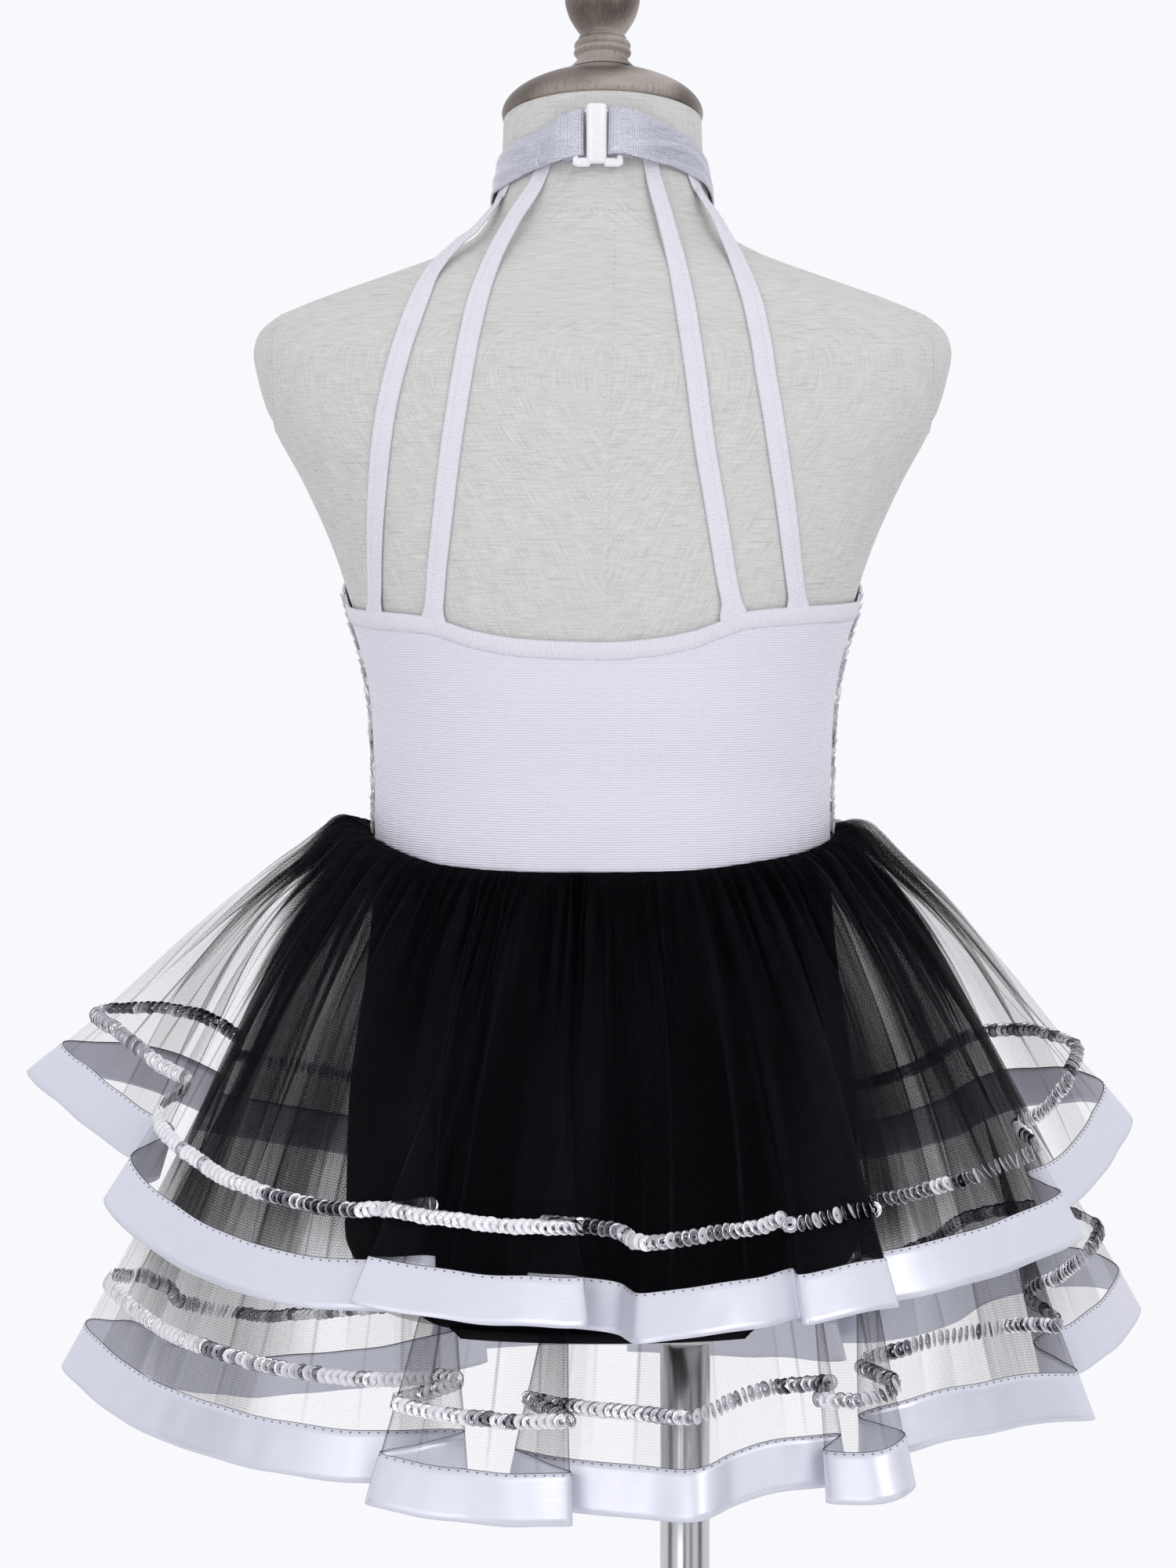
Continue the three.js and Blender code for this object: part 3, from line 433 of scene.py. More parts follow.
# ------------------------------------------------------------------ materials
class Graph:
    def __init__(self, name):
        self.material = bpy.data.materials.new(name)
        self.material.use_nodes = True
        self.tree = self.material.node_tree
        self.tree.nodes.clear()
        self.out = self.node("ShaderNodeOutputMaterial")

    def node(self, kind, **settings):
        n = self.tree.nodes.new(kind)
        for k, v in settings.items():
            setattr(n, k, v)
        return n

    def put(self, socket, value):
        if hasattr(value, "node") or isinstance(value, bpy.types.NodeSocket):
            self.tree.links.new(value, socket)
        elif value is not None:
            socket.default_value = value

    def math(self, op, a, b=None, c=None, clamp=False):
        n = self.node("ShaderNodeMath", operation=op, use_clamp=clamp)
        for k, v in enumerate((a, b, c)):
            self.put(n.inputs[k], v)
        return n.outputs[0]

    def vector(self, op, a, b=None, scale=None):
        n = self.node("ShaderNodeVectorMath", operation=op)
        self.put(n.inputs[0], a)
        self.put(n.inputs[1], b)
        if scale is not None:
            self.put(n.inputs[3], scale)
        return n.outputs["Value"] if op in ("DOT_PRODUCT", "LENGTH", "DISTANCE") else n.outputs[0]

    def uv(self):
        if not hasattr(self, "_uv"):
            self._uv = self.node("ShaderNodeUVMap").outputs[0]
        return self._uv

    def split(self, v):
        n = self.node("ShaderNodeSeparateXYZ")
        self.put(n.inputs[0], v)
        return n.outputs

    def place(self):
        if not hasattr(self, "_at"):
            self._at = self.node("ShaderNodeTexCoord").outputs["Object"]
        return self._at

    def scaled(self, v, x, y, z=1.0):
        return self.vector("MULTIPLY", v, (x, y, z))

    def noise(self, v, scale, detail=2.0, rough=0.5, distort=0.0):
        n = self.node("ShaderNodeTexNoise")
        self.put(n.inputs["Vector"], v)
        n.inputs["Scale"].default_value = scale
        n.inputs["Detail"].default_value = detail
        n.inputs["Roughness"].default_value = rough
        n.inputs["Distortion"].default_value = distort
        return n.outputs["Fac"]

    def span(self, v, lo, hi, to_lo=0.0, to_hi=1.0):
        n = self.node("ShaderNodeMapRange")
        self.put(n.inputs["Value"], v)
        for k, x in (("From Min", lo), ("From Max", hi), ("To Min", to_lo), ("To Max", to_hi)):
            n.inputs[k].default_value = x
        return n.outputs[0]

    def colours(self, fac, stops):
        n = self.node("ShaderNodeValToRGB")
        self.put(n.inputs[0], fac)
        r = n.color_ramp
        while len(r.elements) < len(stops):
            r.elements.new(0.5)
        for e, (at, c) in zip(r.elements, stops):
            e.position = at
            e.color = (*c, 1)
        return n.outputs[0]

    def mix(self, fac, a, b):
        n = self.node("ShaderNodeMix", data_type="RGBA")
        self.put(n.inputs[0], fac)
        for s, v in ((n.inputs[6], a), (n.inputs[7], b)):
            self.put(s, (*v, 1) if isinstance(v, tuple) and len(v) == 3 else v)
        return n.outputs[2]

    def bump(self, height, strength, distance):
        n = self.node("ShaderNodeBump")
        n.inputs["Strength"].default_value = strength
        n.inputs["Distance"].default_value = distance
        self.put(n.inputs["Height"], height)
        return n.outputs[0]

    def surface(self, colour, rough=0.5, bump=None, **more):
        n = self.node("ShaderNodeBsdfPrincipled")
        self.put(n.inputs["Base Color"], (*colour, 1) if isinstance(colour, tuple) else colour)
        self.put(n.inputs["Roughness"], rough)
        if bump is not None:
            self.put(n.inputs["Normal"], bump)
        for k, v in more.items():
            self.put(n.inputs[k.replace("_", " ")], v)
        self.put(self.out.inputs[0], n.outputs[0])
        return n


def linen():
    g = Graph("linen_weave")
    uv = g.uv()
    weft = g.noise(g.scaled(uv, 0.11, 1.5), 1.0, 3, 0.6)
    warp = g.noise(g.scaled(uv, 1.5, 0.09), 1.0, 3, 0.6)
    fine = g.noise(g.scaled(uv, 0.9, 0.9), 1.3, 2, 0.7)
    slub = g.noise(g.scaled(uv, 0.05, 1.1), 1.0, 2, 0.5)
    slub_up = g.noise(g.scaled(uv, 1.1, 0.04), 1.0, 2, 0.5)
    broad = g.noise(g.scaled(uv, 0.012, 0.012), 1.0, 2, 0.5)
    tone = g.math("ADD", g.math("MULTIPLY", weft, 0.42), g.math("MULTIPLY", warp, 0.38))
    tone = g.math("ADD", tone, g.math("MULTIPLY", fine, 0.2))
    parts = g.split(uv)
    over = g.math("MULTIPLY", g.math("SINE", g.math("MULTIPLY", parts[0], 2 * math.pi / 0.86)), g.math("SINE", g.math("MULTIPLY", parts[1], 2 * math.pi / 0.86)))
    tone = g.math("ADD", tone, g.math("MULTIPLY", over, 0.045))
    dark = g.math("MAXIMUM", g.span(slub, 0.66, 0.72), g.math("MULTIPLY", g.span(slub_up, 0.68, 0.74), 0.8))
    colour = g.colours(g.span(tone, 0.3, 0.7), [(0, (0.40, 0.396, 0.38)), (0.5, (0.59, 0.586, 0.57)), (1, (0.725, 0.72, 0.705))])
    colour = g.mix(g.math("MULTIPLY", dark, 0.42), colour, (0.27, 0.262, 0.24))
    colour = g.mix(g.span(broad, 0.35, 0.65, 0, 0.16), colour, (0.6, 0.59, 0.57))
    g.surface(colour, 0.92, g.bump(tone, 0.3, 0.0004), Sheen_Weight=0.1, Specular_IOR_Level=0.25)
    return g.material


def wood():
    g = Graph("turned_wood")
    at = g.place()
    warped = g.vector("ADD", g.scaled(at, 1, 1, 0.45), g.vector("SCALE", g.noise_colour(at, 14), None, 0.035))
    xyz = g.split(warped)
    rings = g.vector("LENGTH", g.vector("ADD", g.scaled(warped, 1, 1, 0.75), (0.062, 0.03, -0.7)))
    wave = g.math("SINE", g.math("MULTIPLY", rings, 2 * math.pi / 0.0105))
    grain = g.noise(g.scaled(at, 1, 1, 0.12), 900, 3, 0.6)
    pores = g.noise(g.scaled(at, 1, 1, 0.08), 1700, 1, 0.5)
    broad = g.noise(at, 30, 2, 0.5)
    tone = g.math("ADD", g.math("MULTIPLY", g.span(wave, -1, 1), 0.54), g.math("MULTIPLY", grain, 0.3))
    tone = g.math("ADD", tone, g.math("MULTIPLY", broad, 0.26))
    colour = g.colours(tone, [(0.25, (0.065, 0.046, 0.036)), (0.40, (0.15, 0.115, 0.093)), (0.56, (0.245, 0.203, 0.176)), (0.74, (0.35, 0.305, 0.275))])
    colour = g.mix(g.span(pores, 0.62, 0.7, 0, 0.5), colour, (0.07, 0.055, 0.05))
    rough = g.span(grain, 0.3, 0.7, 0.36, 0.5)
    g.surface(colour, rough, g.bump(grain, 0.12, 0.0004), Coat_Weight=0.12, Coat_Roughness=0.25)
    return g.material


def _noise_colour(self, v, scale):
    n = self.node("ShaderNodeTexNoise")
    self.put(n.inputs["Vector"], v)
    n.inputs["Scale"].default_value = scale
    n.inputs["Detail"].default_value = 2
    return self.vector("SUBTRACT", n.outputs["Color"], (0.5, 0.5, 0.5))


Graph.noise_colour = _noise_colour


def rib(g, axis, pitch, wobble=0.12):
    """A row of fine ribs every pitch mm along one UV axis: 0..1."""
    parts = g.split(g.uv())
    v = parts[axis]
    drift = g.math("MULTIPLY", g.noise(g.scaled(g.uv(), 0.05, 0.05), 1.0, 1), wobble * pitch * 4)
    return g.math("ADD", g.math("MULTIPLY", g.math("SINE", g.math("MULTIPLY", g.math("ADD", v, drift), 2 * math.pi / pitch)), 0.5), 0.5)


def cloth(name, colour, rough, pitch, axis, depth, tint=0.05, sheen=0.3, shade=0.12, specular=0.4):
    g = Graph(name)
    ribs = rib(g, axis, pitch)
    fine = g.noise(g.scaled(g.uv(), 2.2, 2.2), 1.0, 2, 0.6)
    broad = g.noise(g.scaled(g.uv(), 0.03, 0.03), 1.0, 2, 0.5)
    # shade darkens the colour in the rib grooves where the bump sinks: painted shade in the grooves
    low = tuple(c * (1 - shade) for c in colour)
    base = g.mix(g.math("ADD", g.math("MULTIPLY", ribs, 0.7), g.math("MULTIPLY", fine, 0.3)), low, colour)
    base = g.mix(g.span(broad, 0.3, 0.7, 0, tint), base, tuple(c * 0.86 for c in colour))
    height = g.math("ADD", ribs, g.math("MULTIPLY", fine, 0.35))
    g.surface(base, g.span(fine, 0.3, 0.7, rough - 0.05, rough + 0.08), g.bump(height, 0.7, depth),
              Sheen_Weight=sheen, Sheen_Roughness=0.4, Specular_IOR_Level=specular)
    return g.material


def ribbon_satin():
    g = Graph("ribbon_satin")
    uv = g.uv()
    parts = g.split(uv)
    warp = g.noise(g.scaled(uv, 0.06, 3.2), 1.0, 2, 0.5)
    weft = g.noise(g.scaled(uv, 3.0, 0.1), 1.0, 2, 0.5)
    broad = g.noise(g.scaled(uv, 0.025, 0.02), 1.0, 1)
    edge = g.math("MAXIMUM", g.span(parts[1], 0.9, 0.25), g.span(parts[1], 19.1, 19.75))
    picot = g.math("MULTIPLY", g.span(g.math("SINE", g.math("MULTIPLY", parts[0], 2 * math.pi / 1.15)), -0.2, 0.6), edge)
    colour = g.mix(g.span(warp, 0.3, 0.7), (0.655, 0.658, 0.74), (0.695, 0.70, 0.785))
    colour = g.mix(g.span(broad, 0.35, 0.65, 0, 0.14), colour, (0.66, 0.67, 0.79))
    # the picot hollows along both edges are painted darker where the bump sinks: painted shade
    colour = g.mix(g.math("MULTIPLY", picot, 0.5), colour, (0.52, 0.53, 0.62))
    height = g.math("ADD", g.math("ADD", g.math("MULTIPLY", warp, 0.5), g.math("MULTIPLY", weft, 0.12)), g.math("MULTIPLY", picot, -1.2))
    g.surface(colour, g.span(warp, 0.3, 0.7, 0.29, 0.35), g.bump(height, 0.22, 0.0002), Metallic=0.34, Specular_IOR_Level=0.6, Anisotropic=0.45)
    return g.material


def lame():
    g = Graph("lame_knit")
    uv = g.uv()
    fine = g.noise(g.scaled(uv, 1.6, 3.0), 1.0, 3, 0.7)
    streak = g.noise(g.scaled(uv, 0.12, 1.4), 1.0, 2, 0.6)
    columns = rib(g, 0, 0.9)
    colour = g.mix(g.span(fine, 0.3, 0.7), (0.50, 0.50, 0.59), (0.72, 0.72, 0.80))
    # the streaks are painted lighter where the bump raises them into ridges: a painted highlight along the wrinkles
    colour = g.mix(g.span(streak, 0.52, 0.68, 0, 0.45), colour, (0.86, 0.86, 0.92))
    speck = g.noise(g.scaled(uv, 2.6, 2.6), 1.0, 1, 0.5)
    colour = g.mix(g.span(speck, 0.66, 0.72, 0, 0.9), colour, (0.97, 0.97, 1.0))
    height = g.math("ADD", g.math("MULTIPLY", fine, 0.8), g.math("MULTIPLY", columns, 0.35))
    height = g.math("ADD", height, g.math("MULTIPLY", streak, 2.4))
    g.surface(colour, g.span(fine, 0.3, 0.7, 0.22, 0.42), g.bump(height, 0.8, 0.0005), Metallic=0.8, Specular_IOR_Level=0.6)
    return g.material


def knit():
    g = Graph("black_knit")
    wale = rib(g, 0, 0.7)
    fine = g.noise(g.scaled(g.uv(), 1.8, 1.8), 1.0, 2, 0.6)
    # the gaps between the wales are painted darker than the raised wales: painted shade that follows the bump
    colour = g.mix(g.math("MULTIPLY", wale, fine), (0.0012, 0.0012, 0.0018), (0.004, 0.004, 0.006))
    g.surface(colour, 0.8, g.bump(g.math("ADD", wale, fine), 0.4, 0.0003), Specular_IOR_Level=0.04)
    return g.material


NET_CELL = 1.25


def net(name="black_net"):
    """Hexagonal net: thin dark threads round open cells, drawn from the cloth's own coordinates in mm."""
    g = Graph(name)
    cell = NET_CELL
    p = g.vector("SCALE", g.uv(), None, 1 / cell)
    r, h = (1.0, math.sqrt(3), 1.0), (0.5, math.sqrt(3) / 2, 0.5)
    a = g.vector("SUBTRACT", g.vector("MODULO", g.vector("ADD", p, (400, 400 * math.sqrt(3), 400)), r), h)
    b = g.vector("SUBTRACT", g.vector("MODULO", g.vector("ADD", p, (400.5, 400.5 * math.sqrt(3), 400)), r), h)
    a, b = g.scaled(a, 1, 1, 0), g.scaled(b, 1, 1, 0)
    pick = g.math("LESS_THAN", g.vector("DOT_PRODUCT", a, a), g.vector("DOT_PRODUCT", b, b))
    m = g.node("ShaderNodeMix", data_type="VECTOR")
    g.put(m.inputs[0], pick)
    g.put(m.inputs[4], b)
    g.put(m.inputs[5], a)
    c = g.vector("ABSOLUTE", m.outputs[1])
    d = g.math("MAXIMUM", g.vector("DOT_PRODUCT", c, (0.5, math.sqrt(3) / 2, 0)), g.split(c)[0])
    crowd = g.node("ShaderNodeAttribute", attribute_name="crowd").outputs["Fac"]
    width = g.math("ADD", g.math("MULTIPLY", crowd, 0.11), NET_THREAD)
    thread = g.math("GREATER_THAN", d, g.math("SUBTRACT", 0.5, width))
    # the layers behind the first one close the cells evenly, in fine streaks along the gathers
    streak = g.noise(g.scaled(g.uv(), 0.42, 0.02), 1.0, 2, 0.6)
    open_ = g.math("SUBTRACT", 1.0, g.math("MULTIPLY", g.math("MULTIPLY", crowd, 1.72 * NET_CROWD), g.span(streak, 0.3, 0.7, 0.78, 1.16)), clamp=True)
    veil = g.math("SUBTRACT", 1.0, g.math("MULTIPLY", open_, open_))
    cover = g.math("ADD", thread, g.math("MULTIPLY", veil, g.math("SUBTRACT", 1.0, thread)), clamp=True)
    shade = g.noise(g.scaled(g.uv(), 0.05, 0.05), 1.0, 2)
    colour = g.mix(shade, (0.0015, 0.0015, 0.0025), (0.004, 0.004, 0.007))
    dark = g.node("ShaderNodeBsdfPrincipled")
    g.put(dark.inputs["Base Color"], colour)
    dark.inputs["Roughness"].default_value = 0.6
    dark.inputs["Specular IOR Level"].default_value = 0.06
    g.put(dark.inputs["Alpha"], cover)
    g.put(g.out.inputs[0], dark.outputs[0])
    return g.material


NET_THREAD = 0.013
NET_CROWD = 0.48


def sequin(name, colour, rough, metal, **more):
    g = Graph(name)
    tone = g.noise(g.place(), 160, 1)
    base = g.mix(g.span(tone, 0.35, 0.65), tuple(c * 0.86 for c in colour), colour)
    g.surface(base, g.span(tone, 0.3, 0.7, rough, rough + 0.1), None, Metallic=metal, **more)
    return g.material


def chrome():
    g = Graph("polished_chrome")
    smear = g.noise(g.scaled(g.place(), 1, 1, 0.15), 260, 3, 0.6)
    g.surface(g.mix(smear, (0.53, 0.533, 0.54), (0.61, 0.613, 0.62)), g.span(smear, 0.3, 0.7, 0.2, 0.28), None, Metallic=1.0)
    return g.material


def plastic():
    g = Graph("white_plastic")
    n = g.noise(g.place(), 700, 2)
    g.surface(g.mix(n, (0.80, 0.80, 0.83), (0.86, 0.86, 0.88)), g.span(n, 0.3, 0.7, 0.2, 0.32), g.bump(n, 0.05, 0.0002),
              Coat_Weight=0.3, Coat_Roughness=0.1, Subsurface_Weight=0.0)
    return g.material


def thread(name, colour):
    g = Graph(name)
    n = g.noise(g.place(), 2600, 1)
    g.surface(g.mix(n, tuple(c * 0.8 for c in colour), colour), 0.7, None, Sheen_Weight=0.2)
    return g.material


M_LINEN = linen()
M_WOOD = wood()
M_TRICOT = cloth("satin_tricot", (0.795, 0.785, 0.885), 0.46, 1.0, 1, 0.0003, sheen=0.3)
M_BINDING = cloth("ribbed_binding", (0.87, 0.86, 0.94), 0.55, 0.85, 0, 0.0004, sheen=0.3, shade=0.16)
M_STRAP = cloth("strap_elastic", (0.90, 0.89, 0.965), 0.55, 0.85, 1, 0.0005, sheen=0.3, shade=0.14)
M_SEQUIN_CLOTH = cloth("sequin_ground", (0.80, 0.80, 0.86), 0.5, 1.2, 1, 0.0003)
M_RIBBON = ribbon_satin()
M_LAME = lame()
M_KNIT = knit()
M_NET = net()
M_SILVER = sequin("sequin_silver", (0.90, 0.90, 0.93), 0.12, 1.0)
M_CLEAR = sequin("sequin_pearl", (0.88, 0.88, 0.92), 0.24, 0.08, Coat_Weight=0.6, Coat_Roughness=0.08)
# the grey and near-black metal sequins are darker copies of the silver one: painted reflection of the black net on
# tilted discs
M_SEQUIN_GREY_REFLECTION = sequin("sequin_painted_grey_reflection", (0.52, 0.52, 0.56), 0.14, 1.0)
M_SEQUIN_DARK_REFLECTION = sequin("sequin_painted_dark_reflection", (0.22, 0.22, 0.25), 0.16, 1.0)
M_FRONT = sequin("sequin_clear", (0.94, 0.94, 0.965), 0.3, 0.0, Alpha=0.5)
M_CHROME = chrome()
M_PLASTIC = plastic()
M_WHITE_THREAD = thread("white_thread", (0.80, 0.79, 0.85))
M_GREY_THREAD = thread("linen_thread", (0.70, 0.69, 0.67))
M_DARK_THREAD = thread("dark_thread", (0.16, 0.16, 0.19))
M_RAW_EDGE = thread("net_selvedge", (0.02, 0.02, 0.026))


def done(ob, slot, *nodes):
    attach(ob, "root")
    if nodes:
        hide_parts(*nodes)
    return ob


# ------------------------------------------------------------------ dress form
def form():
    sides = 224
    zs = np.concatenate([np.linspace(454, 462, 9), np.linspace(465, 800, 64), np.linspace(804, 912, 62), np.linspace(915, 948, 14)])
    t = np.arange(sides) / sides
    phi = 2 * math.pi * t + 0.2 * np.sin(4 * math.pi * t)   # closer columns at the shoulder tips
    Z, PHI = np.meshgrid(zs, phi, indexing="ij")
    P = torso(Z, PHI)
    n = normal(Z, PHI)
    x = np.abs(P[..., 0])
    plate = 137.0
    groove = np.exp(-(((x - plate) / 0.9) ** 2)) * ramp(Z, 800, 815) * (1 - ramp(Z, 866, 872))
    cb = np.exp(-((P[..., 0] - 3) / 1.0) ** 2) * (np.cos(PHI) > 0) * ramp(Z, 735, 760) * (1 - ramp(Z, 905, 912))
    P = P - n * (0.7 * groove + 0.3 * cb)[..., None]
    around = np.concatenate([P, P[:, :1]], 1)
    u = np.concatenate([np.zeros((len(zs), 1)), np.cumsum(np.linalg.norm(np.diff(around, axis=1), axis=2), 1)], 1)
    u = u - u[:, -1:] / 2 + 600
    UV = np.stack([u, np.broadcast_to(Z[:, :1], u.shape)], -1)
    rows = len(zs)
    verts = P.reshape(-1, 3)
    faces, uvs = [quads(rows, sides, True)], [quad_uvs(UV, rows, sides, True)]
    for row, z in ((0, -1), (rows - 1, 1)):
        ring = row * sides + np.arange(sides)
        verts = np.vstack([verts, P[row].mean(0)])
        t3 = np.stack([ring, np.roll(ring, -1), np.full(sides, len(verts) - 1)], -1)
        faces.append(t3[:, ::-1] if row == 0 else t3)
        c = P[row][:, :2] + 600
        mid = np.broadcast_to(c.mean(0), c.shape)
        tri = np.stack([c, np.roll(c, -1, 0), mid], 1)
        uvs.append(tri[:, ::-1] if row == 0 else tri)
    if not out_first(verts, faces):
        faces, uvs = flip(faces, uvs)
    ob = done(build("form_cover", verts, faces, uvs, M_LINEN), "form_linen", "form_torso")
    # seams: round the base of the neck, down the centre back, and round each arm plate
    frames = []
    a = np.linspace(0, 2 * math.pi, 260)
    ring = skin(907 + 0 * a, a, 0.1)
    frames.append(along(ring, normal(907 + 0 * a, a), 2.6)[0])
    z = np.linspace(900, 752, 120)
    ph = angle_at(z, np.interp(z, [752, 900], [1.5, 5.0]))
    frames.append(along(torso(z, ph), normal(z, ph), 2.8)[0])
    for side in (-1, 1):
        for off in (-1.7,):
            z = np.linspace(868, 812, 60)
            ph = angle_at(z, side * (plate + off - 2.5 * ramp(z, 858, 868)))
            frames.append(along(torso(z, ph), normal(z, ph), 2.6)[0])
            frames.append(along(torso(z, math.pi - ph), normal(z, math.pi - ph), 2.6)[0])
    done(scatter("form_stitches", stitch_template(1.6, 0.2), np.concatenate(frames), M_GREY_THREAD), "form_linen")


form()
HEAD = (0, 2, NECK_TOP - 2 * math.tan(NECK_TILT))


def smooth_profile(points, steps=4):
    return spline(points, (len(points) - 1) * steps + 1)


cap = np.vstack([[(0, 0.4), (39.2, 0.4)], smooth_profile([(39.5, 0.4), (41.0, 1.1), (41.7, 3.0), (41.2, 5.6), (39.6, 8.3), (36, 11.6), (30, 15), (22, 18.2), (16, 19.9), (14.4, 20.6)], 5), [(14.2, 21.4), (0, 21.4)]])
done(lathe("form_cap", cap, 128, HEAD, NECK_TILT, M_WOOD), "form_wood", "neck_cap")
egg = np.vstack([[(0, 21.8), (14.0, 21.8)], smooth_profile([(14.2, 21.9), (13.9, 22.6), (12.6, 24.0), (11.2, 25.6), (10.5, 27.2), (10.6, 28.0), (11.4, 28.8), (11.95, 29.8), (11.5, 30.9), (11.0, 31.4), (11.4, 31.9),
                 (11.75, 32.9), (11.4, 33.9), (10.9, 34.4), (9.8, 34.7), (9.5, 35.1), (9.9, 35.7), (9.9, 36.3), (9.3, 37.0), (9.4, 38), (11.6, 41.5), (14, 46), (15.4, 51), (15.6, 55), (14.7, 61),
                 (12.3, 67), (8.6, 71.8), (4.4, 74.4), (1.5, 75)], 4), [(0, 75.1)]])
done(lathe("form_finial", egg, 112, HEAD, NECK_TILT, M_WOOD), "form_wood", "finial")


# ------------------------------------------------------------------ bodice
def panel(name, angles, low, high, rows, out, thick, material, slot, node, wrinkle=None, more=()):
    A = np.asarray(angles)
    t = np.linspace(1, 0, rows)[:, None]
    Z = low(A)[None] + (high(A) - low(A))[None] * t
    PHI = np.broadcast_to(A[None], Z.shape)
    lift = np.zeros(Z.shape) if wrinkle is None else wrinkle(Z, PHI, t)
    base = skin(Z, PHI, out)
    n = normal(Z, PHI)
    outer, inner = base + n * (thick + lift)[..., None], base + n * (lift * 0.9)[..., None]
    u = np.concatenate([[0], np.cumsum(np.linalg.norm(np.diff(base[rows // 2], axis=0), axis=1))])
    UV = np.stack(np.broadcast_arrays(u[None, :], Z), -1)
    ob = done(shell(name, outer, inner, UV, False, material), slot, node)
    return ob, outer, n, u


gap = 0.25 * RAD
back = np.linspace(-SIDE_SEAM * RAD + gap, SIDE_SEAM * RAD - gap, 220)


def bodice_wrinkles(Z, PHI, t):
    u = PHI * 92
    pucker = ripple(u, 3, 9, 0.06, 0.16) * 0.35 * ramp(t, 0.16, 0.0)
    drag = ripple(Z * 0.9 + u * 0.22, 5, 5, 0.012, 0.03) * 0.45 * np.sin(math.pi * np.clip(t, 0, 1))
    return pucker + drag + 0.25


bodice, bodice_outer, _, _ = panel("bodice_back", back, seam_z, lambda p: back_top(p) - BINDING_HEIGHT - 0.1, 54, EASE, 0.9, M_TRICOT, "tricot", "back_bodice", bodice_wrinkles)
binding, binding_outer, binding_n, _ = panel("binding_back", back, lambda p: back_top(p) - BINDING_HEIGHT, back_top, 9, EASE, 1.7, M_BINDING, "binding", "back_binding",
                                             lambda Z, PHI, t: 0.25 * np.sin(math.pi * t) + ripple(PHI * 92, 8, 6, 0.05, 0.12) * 0.12)
stitches = along(binding_outer[6], binding_n[6], 2.5, 1.0)[0]
binding_stitch = done(scatter("binding_stitches", stitch_template(1.6, 0.2), stitches, M_WHITE_THREAD), "binding")

ARM_Z = 752.0


def front_half(z, inset):
    z = np.asarray(z, float)
    straight = (180 - SIDE_SEAM) * RAD - gap
    side = angle_at(np.maximum(z, ARM_Z), armhole_x(np.maximum(z, ARM_Z)) - inset)
    blend = ramp(z, ARM_Z - 3, ARM_Z + 12)
    return side * blend + straight * (1 - blend)


def chest_ease(z):
    return 1.5 * ramp(z, ARM_Z + 8, ARM_Z + 30)


front_z = np.concatenate([np.linspace(646, 748, 24), np.linspace(752, 800, 26), np.linspace(804, 912, 34)])
across = np.linspace(-1, 1, 96)
Z = np.broadcast_to(front_z[:, None], (len(front_z), len(across))).copy()
PHI = math.pi - across[None, :] * front_half(front_z, BINDING_HEIGHT)[:, None]
level = ramp(front_z, 646, 690)[:, None]
Z = Z * level + (1 - level) * (seam_z(PHI) + (Z - 646))
front_n = normal(Z, PHI)
front_in = skin(Z, PHI, EASE + chest_ease(Z))
u_row = np.concatenate([np.zeros((len(front_z), 1)), np.cumsum(np.linalg.norm(np.diff(front_in, axis=1), axis=2), 1)], 1)
front_uv = np.stack([u_row - u_row[:, -1:] / 2, Z], -1)
front = done(shell("bodice_front", front_in + front_n * 0.9, front_in, front_uv, False, M_SEQUIN_CLOTH), "sequin_cloth", "front_bodice")

# sequins of the front, in overlapping rows
sequins = []
z = 650.0
row = 0
while z < 908:
    half = float(front_half(np.array(z), BINDING_HEIGHT)) - 0.02 - 0.09 * float(ramp(z, ARM_Z - 10, ARM_Z - 2) * (1 - ramp(z, ARM_Z + 8, ARM_Z + 22)))
    cut = math.pi - np.linspace(-half, half, 160)
    proud = EASE + 1.2 + 0.9 * np.exp(-((np.degrees(wrap(cut)) + 90) / 14) ** 2) + 1.2 * np.exp(-((np.degrees(wrap(cut)) - 90) / 14) ** 2)
    line = skin(np.full(160, z), cut, proud + float(chest_ease(z)))
    if z < 690:
        line = skin(seam_z(cut) + z - 646, cut, proud)
    nn = normal(np.full(160, z), cut)
    f, _ = along(line, nn, 4.1, 2.05 * (row % 2))
    sequins.append(f)
    z += 3.9
    row += 1
sequins = np.concatenate(sequins)
tip = rng.normal(0, 0.13, (len(sequins), 2)) + [0, 0.16]
sequins[:, 0] = unit(sequins[:, 0] + sequins[:, 2] * tip[:, :1])
sequins[:, 2] = unit(np.cross(sequins[:, 0], sequins[:, 1]) + sequins[:, 1] * tip[:, 1:])
sequins[:, 1] = np.cross(sequins[:, 2], sequins[:, 0])
a8 = np.arange(8) / 8 * 2 * math.pi
k8 = np.arange(8)
rim = np.stack([2.5 * np.cos(a8), 2.5 * np.sin(a8)], -1)
small = np.concatenate([[[0, 0, 0.0]], np.column_stack([rim, 0.32 + 0 * a8]), np.column_stack([rim, 0.22 + 0 * a8]), [[0, 0, -0.1]]])
small_faces = [np.stack([0 * k8, 1 + k8, 1 + (k8 + 1) % 8], -1), np.stack([1 + k8, 9 + k8, 9 + (k8 + 1) % 8, 1 + (k8 + 1) % 8], -1), np.stack([9 + (k8 + 1) % 8, 9 + k8, 17 + 0 * k8], -1)]
front_sequins = done(scatter("front_sequins", (small, small_faces), sequins, (M_CLEAR, M_FRONT), (rng.random(len(sequins)) < 0.85).astype(int)), "sequin_cloth")

